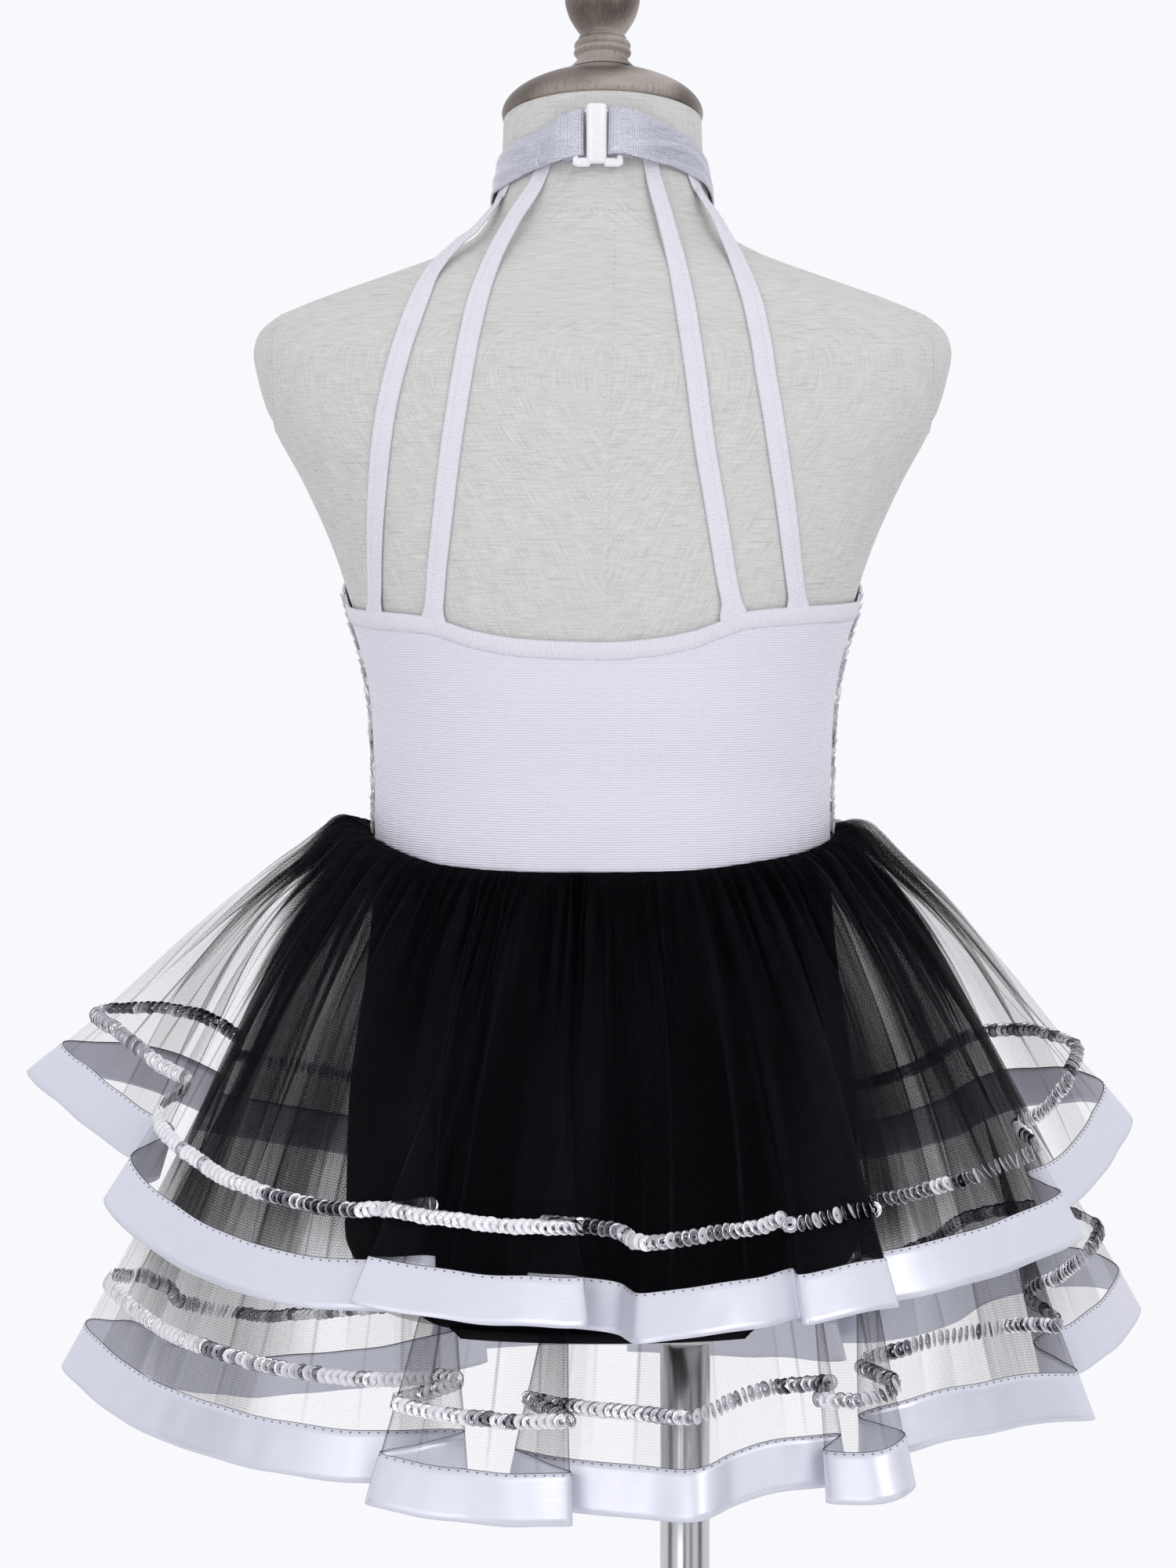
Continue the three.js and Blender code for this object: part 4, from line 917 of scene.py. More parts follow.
arm_bindings = {}
for side, word in ((1, "left"), (-1, "right")):
    az = np.concatenate([np.linspace(ARM_Z + 1.5, 800, 40), np.linspace(803, 912, 40)])
    inner_edge = front_half(az, BINDING_HEIGHT) + 2 * gap
    outer_edge = np.maximum(front_half(az, 0) + 2 * gap, inner_edge + 0.035)
    t = np.linspace(0, 1, 7)[:, None]
    PHI = math.pi + side * (inner_edge[None] + (outer_edge - inner_edge)[None] * t)
    Z = np.broadcast_to(az[None], PHI.shape)
    nn = normal(Z, PHI)
    base = skin(Z, PHI, EASE + chest_ease(Z))
    puff = 0.25 * np.sin(math.pi * t)[..., None]
    UV = np.stack(np.broadcast_arrays(lengths(base[3])[None, :], t * BINDING_HEIGHT), -1)
    arm_bindings[word] = done(shell(f"armhole_{word}", base + nn * (1.2 + 0.4 * ramp(Z, ARM_Z + 12, ARM_Z + 30)[..., None] + puff), base, UV, False, M_BINDING), "binding", f"armhole_binding_{word}")


# ------------------------------------------------------------------ straps
def collar_low_at(x):
    low = reader(COLLAR, "angle", "low")
    return low(np.clip(np.degrees(np.arcsin(np.clip(x / 46, -1, 1))), -180, 180))


for name, rows in STRAPS.items():
    zs = np.array([r["z"] for r in rows], float)
    xs = np.array([r["x"] for r in rows], float)
    lead = (xs[0] - xs[1]) / (zs[0] - zs[1])
    top = zs[0] + 9
    zz = np.linspace(top, zs[-1] - 5.2, 120)
    smooth = reader([{"z": a, "x": b} for a, b in sorted(zip([*zs, top + 0.01, zs[-1] - 6], [*xs, xs[0] + lead * 5.5, xs[-1] + (xs[-1] - xs[-2]) * 0.3]))], "z", "x")
    px = smooth(zz)
    ph = angle_at(zz, px, EASE + 1)
    centre = skin(zz, ph, 0.35 + 0.55 * (1 - ramp(zz, zs[-1] + 2, zs[-1] + 14)))
    n_ = normal(zz, ph)
    # taut between the neck band and the shoulder: there it leaves the form and runs straight
    head, foot = zs[0] + 0.5, 879.0
    i_head, i_foot = int(np.argmin(np.abs(zz - head))), int(np.argmin(np.abs(zz - foot)))
    u_ = np.clip((zz - zz[i_foot]) / (zz[i_head] - zz[i_foot]), 0, 1)
    span = slice(i_head, i_foot + 1)
    centre[span, 1] = centre[i_foot, 1] + (centre[i_head, 1] - centre[i_foot, 1]) * u_[span]
    n_[span] = unit(n_[i_foot] + (n_[i_head] - n_[i_foot]) * u_[span, None])
    tangent = unit(np.gradient(centre, axis=0))
    across_ = unit(np.cross(tangent, n_))
    outer_side = np.sign(-(across_[40, 0]) * (1 if px.mean() > 0 else -1))
    w = np.linspace(-1, 1, 13)
    flare = 1 + 0.42 * np.clip(1 - (zz - (zs[-1] - 1.5)) / 6.0, 0, 1) ** 2
    flare = flare * (1 - 0.16 * ramp(zz, 866, 905))
    place = centre[None] + across_[None] * (w[:, None] * STRAP_WIDTH / 2 * flare[None])[..., None]
    groove = np.exp(-((w[:, None] + outer_side * 0.36) / 0.1) ** 2)
    crown = 1.15 + 0.18 * (1 - w[:, None] ** 4) - 0.22 * groove + 0 * zz[None]
    thin = np.where(zz > zs[0] - 2, 0.72, 1.0)[None, :]
    curl = 0.05 * np.sin(zz / 9)[None, :] * w[:, None]
    run = lengths(centre)
    UV = np.stack(np.broadcast_arrays(w[:, None] * STRAP_WIDTH / 2, run[None, :]), -1)
    done(shell(name + "_elastic", place + n_[None] * (crown * thin + curl)[..., None], place + n_[None] * (curl + 0.05)[..., None], UV, False, M_STRAP), "strap", name)
    line = centre + across_ * (-outer_side * 0.36 * STRAP_WIDTH / 2 * flare)[:, None] + n_ * 1.12
    keep = slice(9, 112)
    done(scatter(name + "_stitches", stitch_template(1.75, 0.17), along(line[keep], n_[keep], 2.4)[0], M_WHITE_THREAD), "strap")

# ------------------------------------------------------------------ collar band
path = np.array([[r["angle"], r["out"]] for r in COLLAR_PATH], float)
flat_path = np.stack([path[:, 0] * RAD * 44, path[:, 1]], -1)
fine = spline(flat_path, 4000)
run = lengths(fine)
cols = 520
fine = np.stack([np.interp(np.linspace(0, run[-1], cols), run, fine[:, k]) for k in range(2)], -1)
ang = fine[:, 0] / 44
deg = np.degrees(ang)
neck = np.where(np.degrees(ang) < -180, np.degrees(ang) + 360, np.degrees(ang))
low, high = reader(COLLAR, "angle", "low")(neck), reader(COLLAR, "angle", "high")(neck)
t = np.linspace(0, 1, 22)[:, None]
strap_lift = sum(np.exp(-(((neck - a_) / 9.0) ** 2)) for a_ in (-74, -37, 28, 66))
covered = ramp(deg, -43, -60) * ramp(deg, -322, -312)
tailpart = ((np.arange(cols) < 60) | (np.arange(cols) > cols - 60))
body_u = np.linspace(0, run[-1], cols)
Z = low[None] + (high - low)[None] * t
P = skin(Z, ang[None] + 0 * Z, fine[:, 1][None] + 0 * Z)
N = grid_normals(P)
flip_n = np.sign((N * normal(Z, ang[None] + 0 * Z)).sum(-1)[10, cols // 2])
N = N * flip_n
lengthwise = ripple(t * 17 + ripple(body_u, 31, 4, 0.004, 0.012)[None, :] * 5, 32, 4, 0.07, 0.2)
strong = 0.3 + 0.95 * np.exp(-(((neck - 38) / 22.0) ** 2)) + 0.45 * np.exp(-(((neck + 42) / 18.0) ** 2))
end_gap = np.minimum(np.abs(neck + 16), np.abs(neck - 15))
gathers = ripple(body_u, 33, 6, 0.16, 0.34)[None, :] * np.exp(-(end_gap / 9.0) ** 2)[None, :] * (0.35 + 0.65 * np.abs(2 * t - 1))
W = np.sin(math.pi * np.clip(t, 0.04, 0.96)) ** 0.5 * lengthwise * strong[None, :] * 1.25 + 0.6 * gathers
W = W + 0.75 * strap_lift[None, :] * ramp(t, 0.75, 0.1) * (fine[:, 1] < 3.2)[None, :]
outside = (deg < -14) & (deg > -347)
seam_pinch = np.exp(-(((deg + 17.3) / 0.9) ** 2)) * (fine[:, 1] > 5) + np.exp(-(((deg + 345.6) / 0.9) ** 2)) * (fine[:, 1] > 5)
W = W - 0.45 * seam_pinch[None, :]
W = W * (1 - ramp(np.abs(np.arange(cols) - cols / 2), cols / 2 - 46, cols / 2 - 30))[None, :]
puff = 0.58 + 0.35 * np.sin(math.pi * t) ** 0.7 * (1 - 0.6 * seam_pinch[None, :])
half_puff = np.where((np.abs(np.arange(cols) - cols / 2) > cols / 2 - 40)[None, :], 0.45, puff)
UV = np.stack(np.broadcast_arrays(body_u[None, :], Z), -1)
collar = done(shell("collar_cloth", P + N * (half_puff * 0.8 + W)[..., None], P - N * (0.45 - W)[..., None], UV, False, M_LAME), "lame", "collar_band")
lines = []
for target in (-17.3, -345.6):
    k = int(np.argmin(np.where(fine[:, 1] > 5, np.abs(deg - target), 99)))
    lines.append(along((P + N * (half_puff * 0.8 + W + 0.03)[..., None])[2:-2, k], N[2:-2, k], 1.9)[0])
done(scatter("collar_stitches", stitch_template(1.25, 0.18), np.concatenate(lines), M_WHITE_THREAD), "lame")


# ------------------------------------------------------------------ clasp
def rounded_box(x0, x1, y0, y1, z0, z1, r, k=5):
    half = np.array([x1 - x0, y1 - y0, z1 - z0]) / 2
    r = min(r, half.min() * 0.98)
    mid = np.array([x0 + x1, y0 + y1, z0 + z1]) / 2
    lat = [(a, -1) for a in np.linspace(-90, 0, k)] + [(a, 1) for a in np.linspace(0, 90, k)]
    lon = []
    for q, (sx, sy) in enumerate(((1, 1), (-1, 1), (-1, -1), (1, -1))):
        lon += [(a, sx, sy) for a in np.linspace(90 * q, 90 * q + 90, k)]
    pts = []
    for la, sz in lat:
        for lo, sx, sy in lon:
            d = np.array([math.cos(la * RAD) * math.cos(lo * RAD), math.cos(la * RAD) * math.sin(lo * RAD), math.sin(la * RAD)])
            pts.append(mid + np.array([sx, sy, sz]) * (half - r) + d * r)
    c = len(lon)
    rows_ = len(lat)
    return np.array(pts), [quads(rows_, c, True), np.arange(c)[::-1][None], ((rows_ - 1) * c + np.arange(c))[None]]


def boxes(name, parts):
    verts, q, caps, base = [], [], [], 0
    for p in parts:
        v, f = rounded_box(*p)
        verts.append(v)
        q.append(f[0] + base)
        caps += [f[1] + base, f[2] + base]
        base += len(v)
    return build(name, np.concatenate(verts), [np.concatenate(q), np.concatenate(caps)], None, M_PLASTIC)


hook = done(boxes("clasp_plate", [
    (-6.7, 1.6, -49.7, -46.0, 926.9, 951.2, 1.82), (0.4, 7.4, -48.8, -46.1, 925.7, 929.5, 1.3), (5.5, 8.2, -48.6, -46.2, 926.2, 931.2, 1.15),
    (1, 6.0, -47, -45.9, 947.6, 949.0, 0.5), (5.6, 7.2, -47, -45.9, 927.4, 949.0, 0.5)]), "clasp_plastic", "clasp_hook")
eye = done(boxes("clasp_loop", [
    (-4.4, -1.8, -45.6, -44.5, 928, 949.0, 0.5), (-11.4, -4.9, -48.6, -45.6, 925.7, 929.5, 1.3), (-12.3, -9.8, -48.4, -45.8, 926.2, 931.2, 1.15),
    (-11, -1.8, -45.6, -44.5, 947.6, 949.0, 0.5), (-12.0, -10.6, -45.6, -44.5, 927.4, 949.0, 0.5)]), "clasp_plastic", "clasp_eye")

# ------------------------------------------------------------------ brief
LEG = table(("x", "z"), [(0, 458.9), (66, 458.9), (76, 463), (88, 470.5), (97, 478.5), (106, 487), (120, 489)])
leg_at = reader(LEG, "x", "z")


def leg_z(phi):
    x = np.abs(torso(466, phi)[..., 0])
    return np.where(x < 66, 458.9, leg_at(x))


def hem_roll(Z, PHI, t):
    return 0.5 * np.exp(-((t - 0.03) / 0.025) ** 2) + 0.15


brief_b = panel("brief_back_cloth", back, leg_z, lambda p: seam_z(p) - 0.3, 36, EASE, 0.9, M_KNIT, "brief_knit", "brief_back", hem_roll)[0]
brief_f = panel("brief_front_cloth", np.linspace(SIDE_SEAM * RAD + gap, (360 - SIDE_SEAM) * RAD - gap, 240), leg_z, lambda p: seam_z(p) - 0.3, 36, EASE, 0.9, M_KNIT, "brief_knit", "brief_front", hem_roll)[0]
GUSSET = table(("along", "half"), [(0, 62), (0.1, 52), (0.25, 32), (0.4, 20), (0.6, 20), (0.78, 30), (0.92, 44), (1, 50)])
s_ = np.concatenate([[0, 0.02, 0.045], np.linspace(0.08, 0.92, 34), [0.955, 0.98, 1]])
half_w = reader(GUSSET, "along", "half")(s_)
gx = np.linspace(-1, 1, 40)[None, :] * half_w[:, None]
gp = angle_at(460 + 0 * gx, gx)
gb, gf = torso(460, gp)[..., 1], torso(460, math.pi - gp)[..., 1]
y = gb + (gf - gb) * s_[:, None]
edge = np.minimum(s_, 1 - s_)[:, None]
inset = np.where(edge < 0.08, 1, 0)
y_edge = np.where(s_[:, None] < 0.5, gb - 1.6 + 1.4 * ramp(edge, 0, 0.05) + edge * 60, gf + 1.6 - 1.4 * ramp(edge, 0, 0.05) - edge * 60)
y = np.where(edge < 0.07, y_edge * (1 - edge / 0.07) + y * (edge / 0.07), y)
zg = 457.6 - 5.2 * ramp(edge, 0, 0.05) + 0 * gx
G = np.stack([gx, y, zg], -1)
GN = grid_normals(G)
GN = GN * np.sign(GN[20, 20, 2])
UV = np.stack(np.broadcast_arrays(gx, s_[:, None] * 160), -1)
brief_g = done(shell("brief_gusset_cloth", G + GN * 0.45, G - GN * 0.45, UV, False, M_KNIT), "brief_knit", "brief_gusset")


# ------------------------------------------------------------------ skirt
def hem_points(rows):
    points = []
    n = len(rows)
    for k, r in enumerate(rows):
        before = rows[(k - 1) % n]
        start = r["from"] + (360 if k == 0 else 0)
        joined = abs(before["to"] - start) < 1 and abs(before["reach2"] - r["reach0"]) < 1
        for i in range(STEPS + 1):
            s = i / STEPS
            if i == 0 and joined:
                continue
            mix = lambda a, b, c: a * (1 - s) * (1 - 2 * s) + b * 4 * s * (1 - s) + c * s * (2 * s - 1)
            points.append((r["from"] + (r["to"] - r["from"]) * s, mix(r["reach0"], r["reach1"], r["reach2"]), mix(r["rise0"], r["rise1"], r["rise2"])))
        nxt = rows[(k + 1) % n]
        start = nxt["from"] + (360 if k == n - 1 else 0)
        if abs(r["to"] - start) >= 1 or abs(r["reach2"] - nxt["reach0"]) >= 1:
            points.append(((r["to"] + start) / 2, (r["reach2"] + nxt["reach0"]) / 2, (r["rise2"] + nxt["rise0"]) / 2))
    return np.array(points, float)


def polar(p):
    a = p[:, 0] * RAD
    return np.stack([p[:, 1] * np.sin(a), -p[:, 1] * np.cos(a), p[:, 2]], -1)


def steady(values):
    runs = []
    for v in values:
        runs.append([v, 1])
        while len(runs) > 1 and runs[-2][0] / runs[-2][1] > runs[-1][0] / runs[-1][1]:
            r = runs.pop()
            runs[-1][0] += r[0]
            runs[-1][1] += r[1]
    return np.concatenate([np.full(c, s / c) for s, c in runs])


def round_wave(u, total, seed, count, low, high):
    """A smooth random wave that closes on itself after total; wavelengths low..high."""
    r = np.random.default_rng(seed)
    k = r.integers(int(total / high), int(total / low) + 1, count)
    a, p = r.uniform(0.5, 1, count), r.uniform(0, 2 * math.pi, count)
    return sum(a[j] * np.sin(2 * math.pi * k[j] * u / total + p[j]) for j in range(count)) / a.sum() * 1.5


COLUMNS = 1440


def make_tier(word, rows, stand_off, drop, seed):
    hem = hem_points(rows)
    n = len(hem)
    ends = polar(hem)
    seg = np.linalg.norm(np.roll(ends, -1, 0) - ends, axis=1)
    run = np.concatenate([[0], np.cumsum(seg)])
    even = steady(hem[:, 0])
    gather = 0.7 * even + 0.3 * (hem[0, 0] + 360 * run[:n] / run[n])
    ds = np.arange(-5, 6)
    ws = np.exp(-ds * ds / 8.0)
    soft_r = sum(w * np.roll(hem[:, 1], -d) for d, w in zip(ds, ws)) / ws.sum()
    soft_z = sum(w * np.roll(hem[:, 2], -d) for d, w in zip(ds, ws)) / ws.sum()
    soft = polar(np.stack([gather, soft_r, soft_z], -1))
    dense = np.linspace(0, n, n * 60, endpoint=False)
    line = spline(ends, closed=True, places=dense)
    far = lengths(line, True)
    total = far[-1]
    u = np.linspace(0, total, COLUMNS, endpoint=False)
    idx = np.interp(u, far, np.append(dense, n))
    E = spline(ends, closed=True, places=idx)
    S = spline(soft, closed=True, places=idx)
    g = np.interp(idx, np.arange(n + 1), np.append(gather, gather[0] + 360))
    kernel = np.hanning(41)
    kernel /= kernel.sum()
    turn = g - g[0] - 360 * np.arange(COLUMNS) / COLUMNS
    turn = np.convolve(np.concatenate([turn[-20:], turn, turn[:20]]), kernel, "valid")
    g = g[0] + 360 * np.arange(COLUMNS) / COLUMNS + turn
    phi = g * RAD
    w = wrap(phi)

    # small wander of the hem so that no edge is ruled
    E = E + np.array([0, 0, 1.0]) * (0.5 * round_wave(u, total, seed + 1, 7, 30, 110))[:, None]

    def surface(t, fine=True):
        """t of shape (rows, COLUMNS)"""
        top = skin(seam_z(w) - drop, w, EASE + CLOTH + stand_off * 0.45 - 0.8)
        fold = ramp(t, FOLD_START, 1) * 0.4 + 0.6 * np.clip((t - FOLD_START) / (1 - FOLD_START), 0, 1)
        end = S[None] + (E - S)[None] * fold[..., None]
        p = top[None] + (end - top[None]) * t[..., None]
        sideways = np.abs(np.sin(phi))[None]
        bulge = (BULGE_BACK + (BULGE_SIDE - BULGE_BACK) * sideways**2) * np.sin(math.pi * np.clip(t, 0, 1) ** 0.7)
        outward = end - top[None]
        outward[..., 2] = 0
        outward = unit(outward)
        return p + outward * (bulge * 0.6)[..., None] + np.array([0, 0, 1.0]) * (bulge * 0.8)[..., None]

    share = np.full(COLUMNS, 0.9)
    hem_line = surface(np.ones((1, COLUMNS)))[0]
    for _ in range(30):
        d = np.linalg.norm(surface(share[None])[0] - hem_line, axis=1)
        share = share - (RIBBON - d) / 260
    share = np.convolve(np.concatenate([share[-6:], share, share[:6]]), np.ones(13) / 13, "valid")

    s = np.concatenate([np.linspace(0, 0.1, 9)[:-1], np.linspace(0.1, 1, 29)])
    t = s[:, None] * share[None]
    P = surface(t)
    N = grid_normals(P, True)
    if (N[10] * np.stack([np.sin(phi), -np.cos(phi), 0 * phi], -1)).sum() < 0:
        N = -N
    step_u = total / COLUMNS
    k = np.ones(31) / 31

    def smooth_rows(A):
        return np.stack([np.convolve(np.concatenate([r_[-15:], r_, r_[:15]]), k, "valid") for r_ in A])

    flat_width = smooth_rows(np.linalg.norm(np.roll(P, -1, 1) - P, axis=2))
    fullness = np.clip(step_u / np.maximum(flat_width, 0.05), 1, 4.6)
    sides = np.sin(phi)[None] ** 2
    reach = 0.34 + 0.16 * round_wave(u, total, seed + 2, 9, 40, 160)
    fade = np.exp(-((t / reach[None]) ** 2.0))
    start = 0.2 + 0.8 * ramp(t, 0.0, 0.05)
    phase = 2 * math.pi * round(total / 13.5) * u / total + 1.7 * round_wave(u, total, seed + 3, 8, 60, 200)
    folds = np.sin(phase) + 0.35 * np.sin(2 * phase + 1.0)
    deep = 3.1 * np.sqrt(1 - 1 / fullness**2)
    second = round_wave(u, total, seed + 4, 14, 26, 60)
    third = round_wave(u, total, seed + 5, 9, 80, 220)
    long_phase = 2 * math.pi * round(total / 46.0) * u / total + 2.2 * round_wave(u, total, seed + 9, 8, 90, 300)
    strength = (0.55 + 0.45 * round_wave(u, total, seed + 10, 8, 50, 200))[None] * (0.55 + 0.6 * sides)
    long_fade = ramp(t, 0.02, 0.16) * (1 - ramp(t, 0.5, 0.93))
    D = (deep * folds[None] * fade * start + 1.9 * second[None] * np.exp(-((t / 0.55) ** 2)) * ramp(t, 0.0, 0.15)
         + 2.1 * third[None] * np.sin(math.pi * np.clip(t, 0, 1)) ** 1.2 + 4.2 * np.cos(long_phase)[None] * strength * long_fade)
    D = D * (1 - ramp(s, 0.86, 1.0))[:, None] * (1.0 if word == "upper" else 0.8)
    drift = (1.6 * round_wave(u, total, seed + 6, 12, 15, 45)[None] * np.exp(-((t / 0.35) ** 2)) * ramp(t, 0, 0.1)
             + 8.5 * np.sin(long_phase)[None] * strength * long_fade / np.sqrt(fullness))
    side_dir = unit(np.roll(P, -1, 1) - np.roll(P, 1, 1))
    P = P + N * D[..., None] + side_dir * drift[..., None]
    if word == "upper":
        puff_up = sides**2 * np.exp(-(((t - 0.07) / 0.06) ** 2)) * (6.5 + 2.5 * second[None])
        P = P + np.array([0, 0, 1.0]) * puff_up[..., None]

    # lengths as cut, and how much the gathers and the creases crowd the net
    down = np.concatenate([np.zeros((1, COLUMNS)), np.cumsum(np.linalg.norm(np.diff(P, axis=0), axis=2), 0)], 0)
    mean_down = down.mean(1)
    ahead, behind = unit(np.roll(P, -1, 1) - P), unit(P - np.roll(P, 1, 1))
    bend = np.clip(1 - (ahead * behind).sum(-1), 0, 1)
    # where the hem doubles back the net lies in three layers; where it turns away to the sides it closes up
    plan = np.unwrap(np.arctan2(E[:, 0], -E[:, 1]))
    nxt = np.append(plan[1:], plan[0] + 2 * math.pi)
    lo_a, hi_a = np.minimum(plan, nxt), np.maximum(plan, nxt)
    cover = sum(((plan[:, None] + k_ * 2 * math.pi >= lo_a[None]) & (plan[:, None] + k_ * 2 * math.pi < hi_a[None])).sum(1) for k_ in (-1, 0, 1))
    pleat = 1 + 1.5 * np.clip(cover - 1, 0, 2)[None] / 2 * ramp(t, 0.25, 0.7)
    # the gathers lie in flat strips of one to several layers, each with a creased edge, and are deepest over the hips
    r = np.random.default_rng(seed + 60)
    cuts = np.cumsum(r.uniform(9, 34, int(total / 20)))
    cuts = cuts[cuts < total - 9]
    strip = np.searchsorted(cuts, u)
    heavy = r.uniform(0.45, 1.0, len(cuts) + 1) + (r.random(len(cuts) + 1) < 0.3) * r.uniform(0.5, 1.3, len(cuts) + 1)
    heavy = heavy[strip]
    line_at = np.zeros(COLUMNS)
    line_at[np.unique(np.searchsorted(u, cuts) % COLUMNS)] = r.uniform(0.25, 1, len(np.unique(np.searchsorted(u, cuts) % COLUMNS)))
    line_fade = ramp(t, 0.03, 0.15) * (1 - ramp(t, 0.75, 0.99))
    px_, pz_ = np.abs(P[..., 0]), P[..., 2]
    right = ramp(P[..., 0], -5, 5)
    past = px_ - (127 + 0.44 * (629 - pz_)) * (1 - right) - (110 + 0.5 * (640 - pz_)) * right
    open_at = 632 - 16 * right
    far_side = ramp(P[..., 1], -10, 50)
    if word == "upper":
        beyond = ramp(past, -12, 10)
        slit = np.exp(-(((past - 5 - 7 * right) / (3 + 9 * ramp(open_at - pz_, 0, 65))) ** 2)) * ramp(open_at - pz_, -2, 12)
        hips = ramp(px_, 66, 98) * (1 - 0.35 * ramp(px_, 150, 205)) * (1 - 0.3 * right) * (1 - 0.4 * far_side)
    else:
        beyond = ramp(px_, 165, 200)
        slit = 0 * px_
        under = ramp(pz_, 492, 520)
        hips = (1.3 * under * ramp(px_, 62, 92) * (1 - 0.6 * ramp(px_, 125, 160)) + 0.6 * ramp(px_, 122, 150) * (1 - under)) * (1 - 0.25 * far_side)
        pleat = 1 + 0.4 * (pleat - 1)
    away = np.clip(1.15 - np.abs(unit(np.stack([smooth_rows(N[..., j]) for j in range(3)], -1))[..., 1]) / 0.62, 0, 1)
    layers = fullness ** (1.35 - 0.8 * beyond) * (1 + 1.2 * away * (1 - t) * (1 - beyond) * (1 - 0.6 * right)) * pleat * (1 + (3.8 + 7.5 * ramp(t, 0.3, 0.65)) * hips * (1 - 0.78 * beyond)) * (1 - 0.8 * slit) * (1 + (heavy[None] - 1) * ramp(t, 0.02, 0.15))
    clear = (1 - 2 * NET_THREAD) * 0.962 ** (layers - 1)
    crease = np.clip(bend * 3.5, 0, 0.5) * ramp(t, 0.0, 0.2)
    crowd = np.clip(((1 - clear) / 2 - NET_THREAD + 0.2 * crease + (0.26 if word == "upper" else 0.12) * line_at[None] * line_fade) / NET_CROWD, 0, 0.99)
    UV = np.stack(np.broadcast_arrays(np.append(u, total)[None, :], (mean_down[-1] - mean_down)[:, None]), -1)
    tulle = done(film(f"tulle_{word}", P, UV, True, M_NET, {"crowd": crowd}), "tulle", f"tier_{word}_tulle")

    # ribbon
    rs = np.linspace(0, 1, 8)
    rt = share[None] + (1 - share[None]) * rs[:, None]
    R = surface(rt)
    pucker = 0.22 * round_wave(u, total, seed + 7, 12, 12, 40)[None] * np.sin(math.pi * rs)[:, None] + 0.3 * round_wave(u, total, seed + 8, 6, 40, 120)[None] * rs[:, None]
    RN = grid_normals(R, True)
    if (RN[3] * N[-1]).sum() < 0:
        RN = -RN
    R = R + RN * pucker[..., None]
    UV = np.stack(np.broadcast_arrays(np.append(u, total)[None, :], (RIBBON * (1 - rs))[:, None]), -1)
    # the wall bulges a little so that light rolls over it
    ribbon = done(shell(f"ribbon_{word}", R + RN * 0.62, R + RN * 0.16, UV, True, M_RIBBON), "ribbon", f"tier_{word}_ribbon")
    dots = along(np.concatenate([R[0] + RN[0] * 0.6 + (R[1] - R[0]) * 0.28, R[0][:1]]), np.concatenate([RN[0], RN[0][:1]]), 3.7)[0]
    ribbon_dots = done(scatter(f"ribbon_stitches_{word}", stitch_template(1.15, 0.26), dots, M_DARK_THREAD), "ribbon")
    # the net's raw edge shows as a fine dark line at the ribbon's top
    edge_line = np.stack([R[0] + RN[0] * 0.62, R[0] + RN[0] * 0.62 - unit(R[1] - R[0]) * 0.22, R[0] + RN[0] * 0.2 - unit(R[1] - R[0]) * 0.22, R[0] + RN[0] * 0.2])
    eu = np.zeros((5, COLUMNS + 1, 2))
    f = [quads(4, COLUMNS, True, True)]
    v = edge_line.reshape(-1, 3)
    if not out_first(v, f):
        f = [f[0][:, ::-1]]
    edge_ob = done(build(f"net_edge_{word}", v, f, None, M_RAW_EDGE), "tulle")

    # string of sequins 20 mm above the ribbon
    rest = down[-1][None] - down
    at = np.stack([np.interp(RIBBON, rest[::-1, c], P[::-1, c, 0]) for c in range(COLUMNS)])
    line = np.stack([[np.interp(RIBBON, rest[::-1, c], P[::-1, c, k]) for k in range(3)] for c in range(COLUMNS)])
    row = int(np.argmin(np.abs(rest.mean(1) - RIBBON)))
    ln = N[row]
    frames, where = along(np.concatenate([line, line[:1]]), np.concatenate([ln, ln[:1]]), 3.05, lift=0.7)
    heading = np.interp(where, np.append(u, total), np.append(g, g[0] + 360))
    sequin_string(word, frames, heading, seed)


# How the sequins of each string lie on the back half, by distance from the centre line:
# 0 flat on the net, 1 turned on edge; tone 0 pearl and silver, 1 darker, the darker discs being painted reflection of
# the black net.
LIE = {
    "upper": table(("x", "edge", "tone"), [(-215, 0.2, 0.6), (-190, 0.3, 0.6), (-176, 0, 0), (-135, 0, 0), (-131, 1, 0.9), (-98, 1, 0.6), (-93, 0, 0.1), (-12, 0, 0.15), (-6, 1, 0.8), (6, 1, 0.8), (9, 0, 0.2),
                                           (23, 0, 0.3), (26, 1, 0.3), (49, 1, 0.3), (52, 0.1, 0.3), (70, 0.1, 0.2), (73, 0.9, 0.2), (103, 0.9, 0.3), (107, 0.8, 0.9), (118, 0.4, 0.6), (140, 0.3, 0.3), (150, 0.8, 0.1), (170, 0.6, 0.1), (180, 0, 0.1), (200, 0, 0.2)]),
    "lower": table(("x", "edge", "tone"), [(-215, 0, 0.1), (-160, 0, 0.05), (-156, 0.6, 0.9), (-146, 1, 0.8), (-140, 0.9, 0.3), (-110, 0.9, 0.3), (-105, 0, 0), (-60, 0.1, 0.1), (-50, 0.1, 0.5), (-12, 0, 0.4), (-6, 0.1, 0.2),
                                           (10, 0, 0.4), (28, 0.1, 0.5), (33, 0.9, 0.2), (66, 0.9, 0.3), (70, 0.1, 0.5), (86, 0.1, 0.5), (91, 0.9, 0.1), (109, 0.9, 0.2), (113, 0.1, 0.5), (124, 0.8, 0.3), (158, 0.8, 0.3), (163, 0, 0.3), (200, 0, 0.1)]),
}


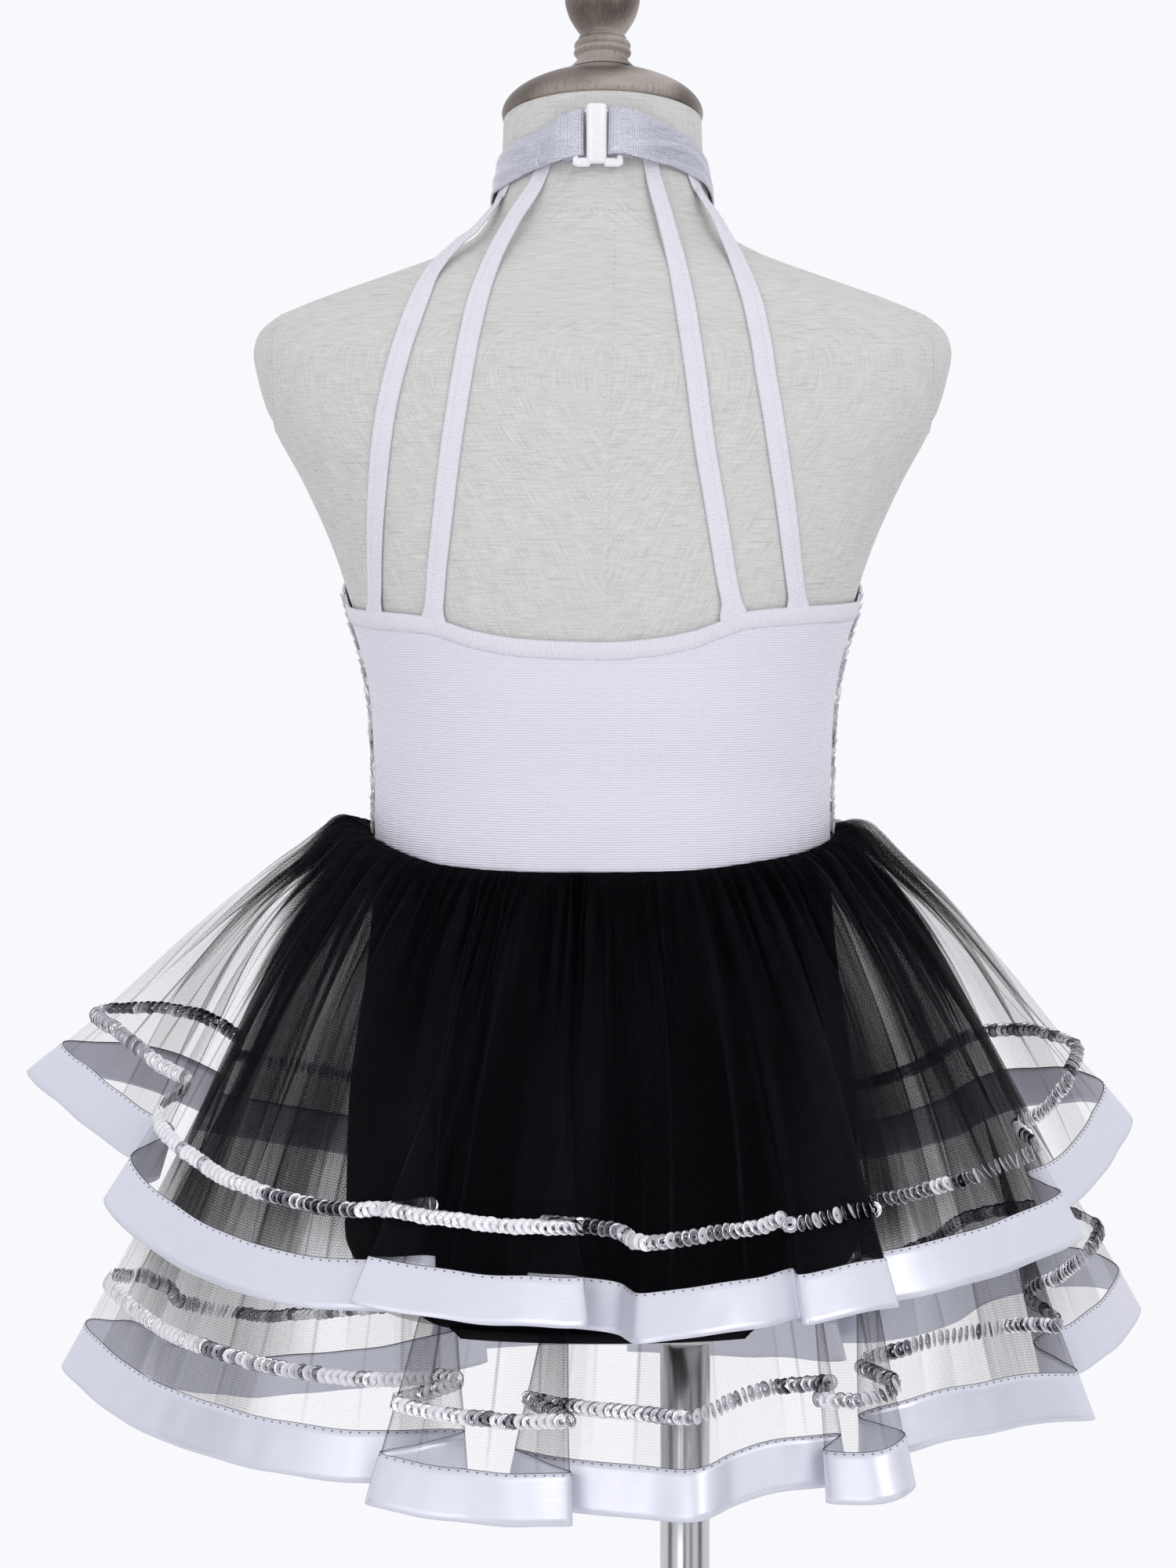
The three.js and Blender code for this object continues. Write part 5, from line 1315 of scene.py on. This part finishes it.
def sequin_string(word, frames, heading, seed):
    r = np.random.default_rng(seed + 40)
    x, y = frames[:, 3, 0], frames[:, 3, 1]
    back_half = ramp(-y, -10, 20)
    front_edge = ramp(np.sin(heading * 0.13 + seed), -0.2, 0.2)
    edge = reader(LIE[word], "x", "edge")(x) * back_half + front_edge * (1 - back_half)
    tone = reader(LIE[word], "x", "tone")(x) * back_half + 0.6 * (1 - back_half)
    lean = 0.13 + 0.68 * edge + r.normal(0, 0.05, len(x)) * (1 + edge)
    roll = 0.3 * edge * np.sin(heading / 7.0 + seed) + r.normal(0, 0.08, len(x))
    F = frames.copy()
    T, B, N_ = frames[:, 0], frames[:, 1], frames[:, 2]
    axis = N_ * np.cos(lean)[:, None] + T * np.sin(lean)[:, None]
    axis = unit(axis * np.cos(roll)[:, None] + B * np.sin(roll)[:, None])
    F[:, 2] = axis
    F[:, 0] = unit(T - (T * axis).sum(-1, keepdims=True) * axis)
    F[:, 1] = np.cross(F[:, 2], F[:, 0])
    F[:, 3] = frames[:, 3] + N_ * (0.3 + 0.7 * edge)[:, None] + B * r.normal(0, 0.15, len(x))[:, None]
    # tone chooses the darker grey and near-black sequins, a painted reflection of the black net, stretch by stretch
    pick = tone + r.normal(0, 0.28, len(x))
    kind = np.where(pick < 0.12, 1, np.where(pick < 0.5, 0, np.where(pick < 0.85, 2, 3)))
    done(scatter(f"sequin_string_{word}", disc_template(3.3, 0.55, 0.34, 12), F, (M_SILVER, M_CLEAR, M_SEQUIN_GREY_REFLECTION, M_SEQUIN_DARK_REFLECTION), kind), "tulle")


make_tier("lower", TIER_2, 1.4, 1.4, 100)
make_tier("upper", TIER_1, 4.4, 0.4, 200)

# ------------------------------------------------------------------ stand
base = np.vstack([[(0, 0), (147.6, 0)], smooth_profile([(148, 0), (149.4, 0.5), (150, 2), (150, 5.4), (149.1, 7.2), (147, 8)], 3), [(146.6, 8), (60, 8), (0, 8)]])
stand = (-FORM_X, 0, 0)
done(lathe("stand_disc", base, 160, stand, 0, M_CHROME), "stand_chrome", "base_disc")
done(lathe("stand_collar", [(10.8, 8.3), (20.4, 8.3), (21, 8.9), (21, 27.2), (20.2, 28), (11.4, 28), (10.8, 27.4), (10.8, 8.4)], 96, stand, 0, M_CHROME), "stand_chrome", "base_collar")
done(lathe("stand_pole", [(0, 8.3), (10.1, 8.3), (10.5, 8.7), (10.5, 200), (10.5, 453.3), (10.1, 453.7), (0, 453.7)], 96, stand, 0, M_CHROME), "stand_chrome", "pole")
done(lathe("stand_socket", [(10.8, 438), (13.5, 438), (14, 438.5), (14, 453.2), (13.5, 453.7), (10.8, 453.7), (10.8, 438.1)], 96, stand, 0, M_CHROME), "stand_chrome", "pole_socket")

# ------------------------------------------------------------------ floor, light and world
g = Graph("studio_floor")
n = g.noise(g.place(), 3.0, 2)
g.surface(g.mix(n, (0.80, 0.80, 0.81), (0.84, 0.84, 0.85)), 0.6)
bpy.ops.mesh.primitive_circle_add(vertices=160, radius=0.9, fill_type="NGON", location=(0, 0, -0.0006))
floor = bpy.context.object
floor.name = "floor"
floor.data.materials.append(g.material)

g = Graph("dark_card")
n = g.noise(g.place(), 2.0, 1)
g.surface(g.mix(n, (0.02, 0.02, 0.02), (0.03, 0.03, 0.03)), 0.9)
h = Graph("grey_card")
m = h.noise(h.place(), 2.0, 1)
h.surface(h.mix(m, (0.16, 0.16, 0.17), (0.2, 0.2, 0.21)), 0.9)
grey_card = h.material
for k, (a, b) in enumerate(((-7, 2), (22, 33), (62, 84), (-84, -62))):
    a, b = a * RAD, b * RAD
    far_ = 3.2
    c = [(far_ * math.sin(a), -far_ * math.cos(a)), (far_ * math.sin(b), -far_ * math.cos(b))]
    me = bpy.data.meshes.new(f"card_{k}")
    me.from_pydata([(c[0][0], c[0][1], 0.0), (c[1][0], c[1][1], 0.0), (c[1][0], c[1][1], 1.9), (c[0][0], c[0][1], 1.9)], [], [(0, 1, 2, 3)])
    ob = bpy.data.objects.new(f"card_{k}", me)
    me.materials.append(g.material if k < 2 else grey_card)
    bpy.context.scene.collection.objects.link(ob)
    ob.visible_camera = False

world = bpy.data.worlds.new("studio")
bpy.context.scene.world = world
world.use_nodes = True
world.node_tree.nodes["Background"].inputs[0].default_value = (0.965, 0.968, 1.0, 1)
world.node_tree.nodes["Background"].inputs[1].default_value = 0.98


def lamp(name, place, aim, size, power, colour=(1, 1, 1)):
    data = bpy.data.lights.new(name, "AREA")
    data.size = size
    data.energy = power
    data.color = colour
    ob = bpy.data.objects.new(name, data)
    ob.location = place
    ob.rotation_euler = (Vector(aim) - Vector(place)).to_track_quat("-Z", "Y").to_euler()
    bpy.context.scene.collection.objects.link(ob)


lamp("key", (0.9, -1.9, 1.8), (-0.03, 0, 0.65), 0.8, 9)
lamp("fill", (-0.9, -2.1, 1.1), (-0.03, 0, 0.65), 0.9, 5)

scene = bpy.context.scene
scene.view_settings.view_transform = "Standard"
scene.view_settings.look = "None"
scene.cycles.transparent_max_bounces = 32
scene.cycles.max_bounces = 8
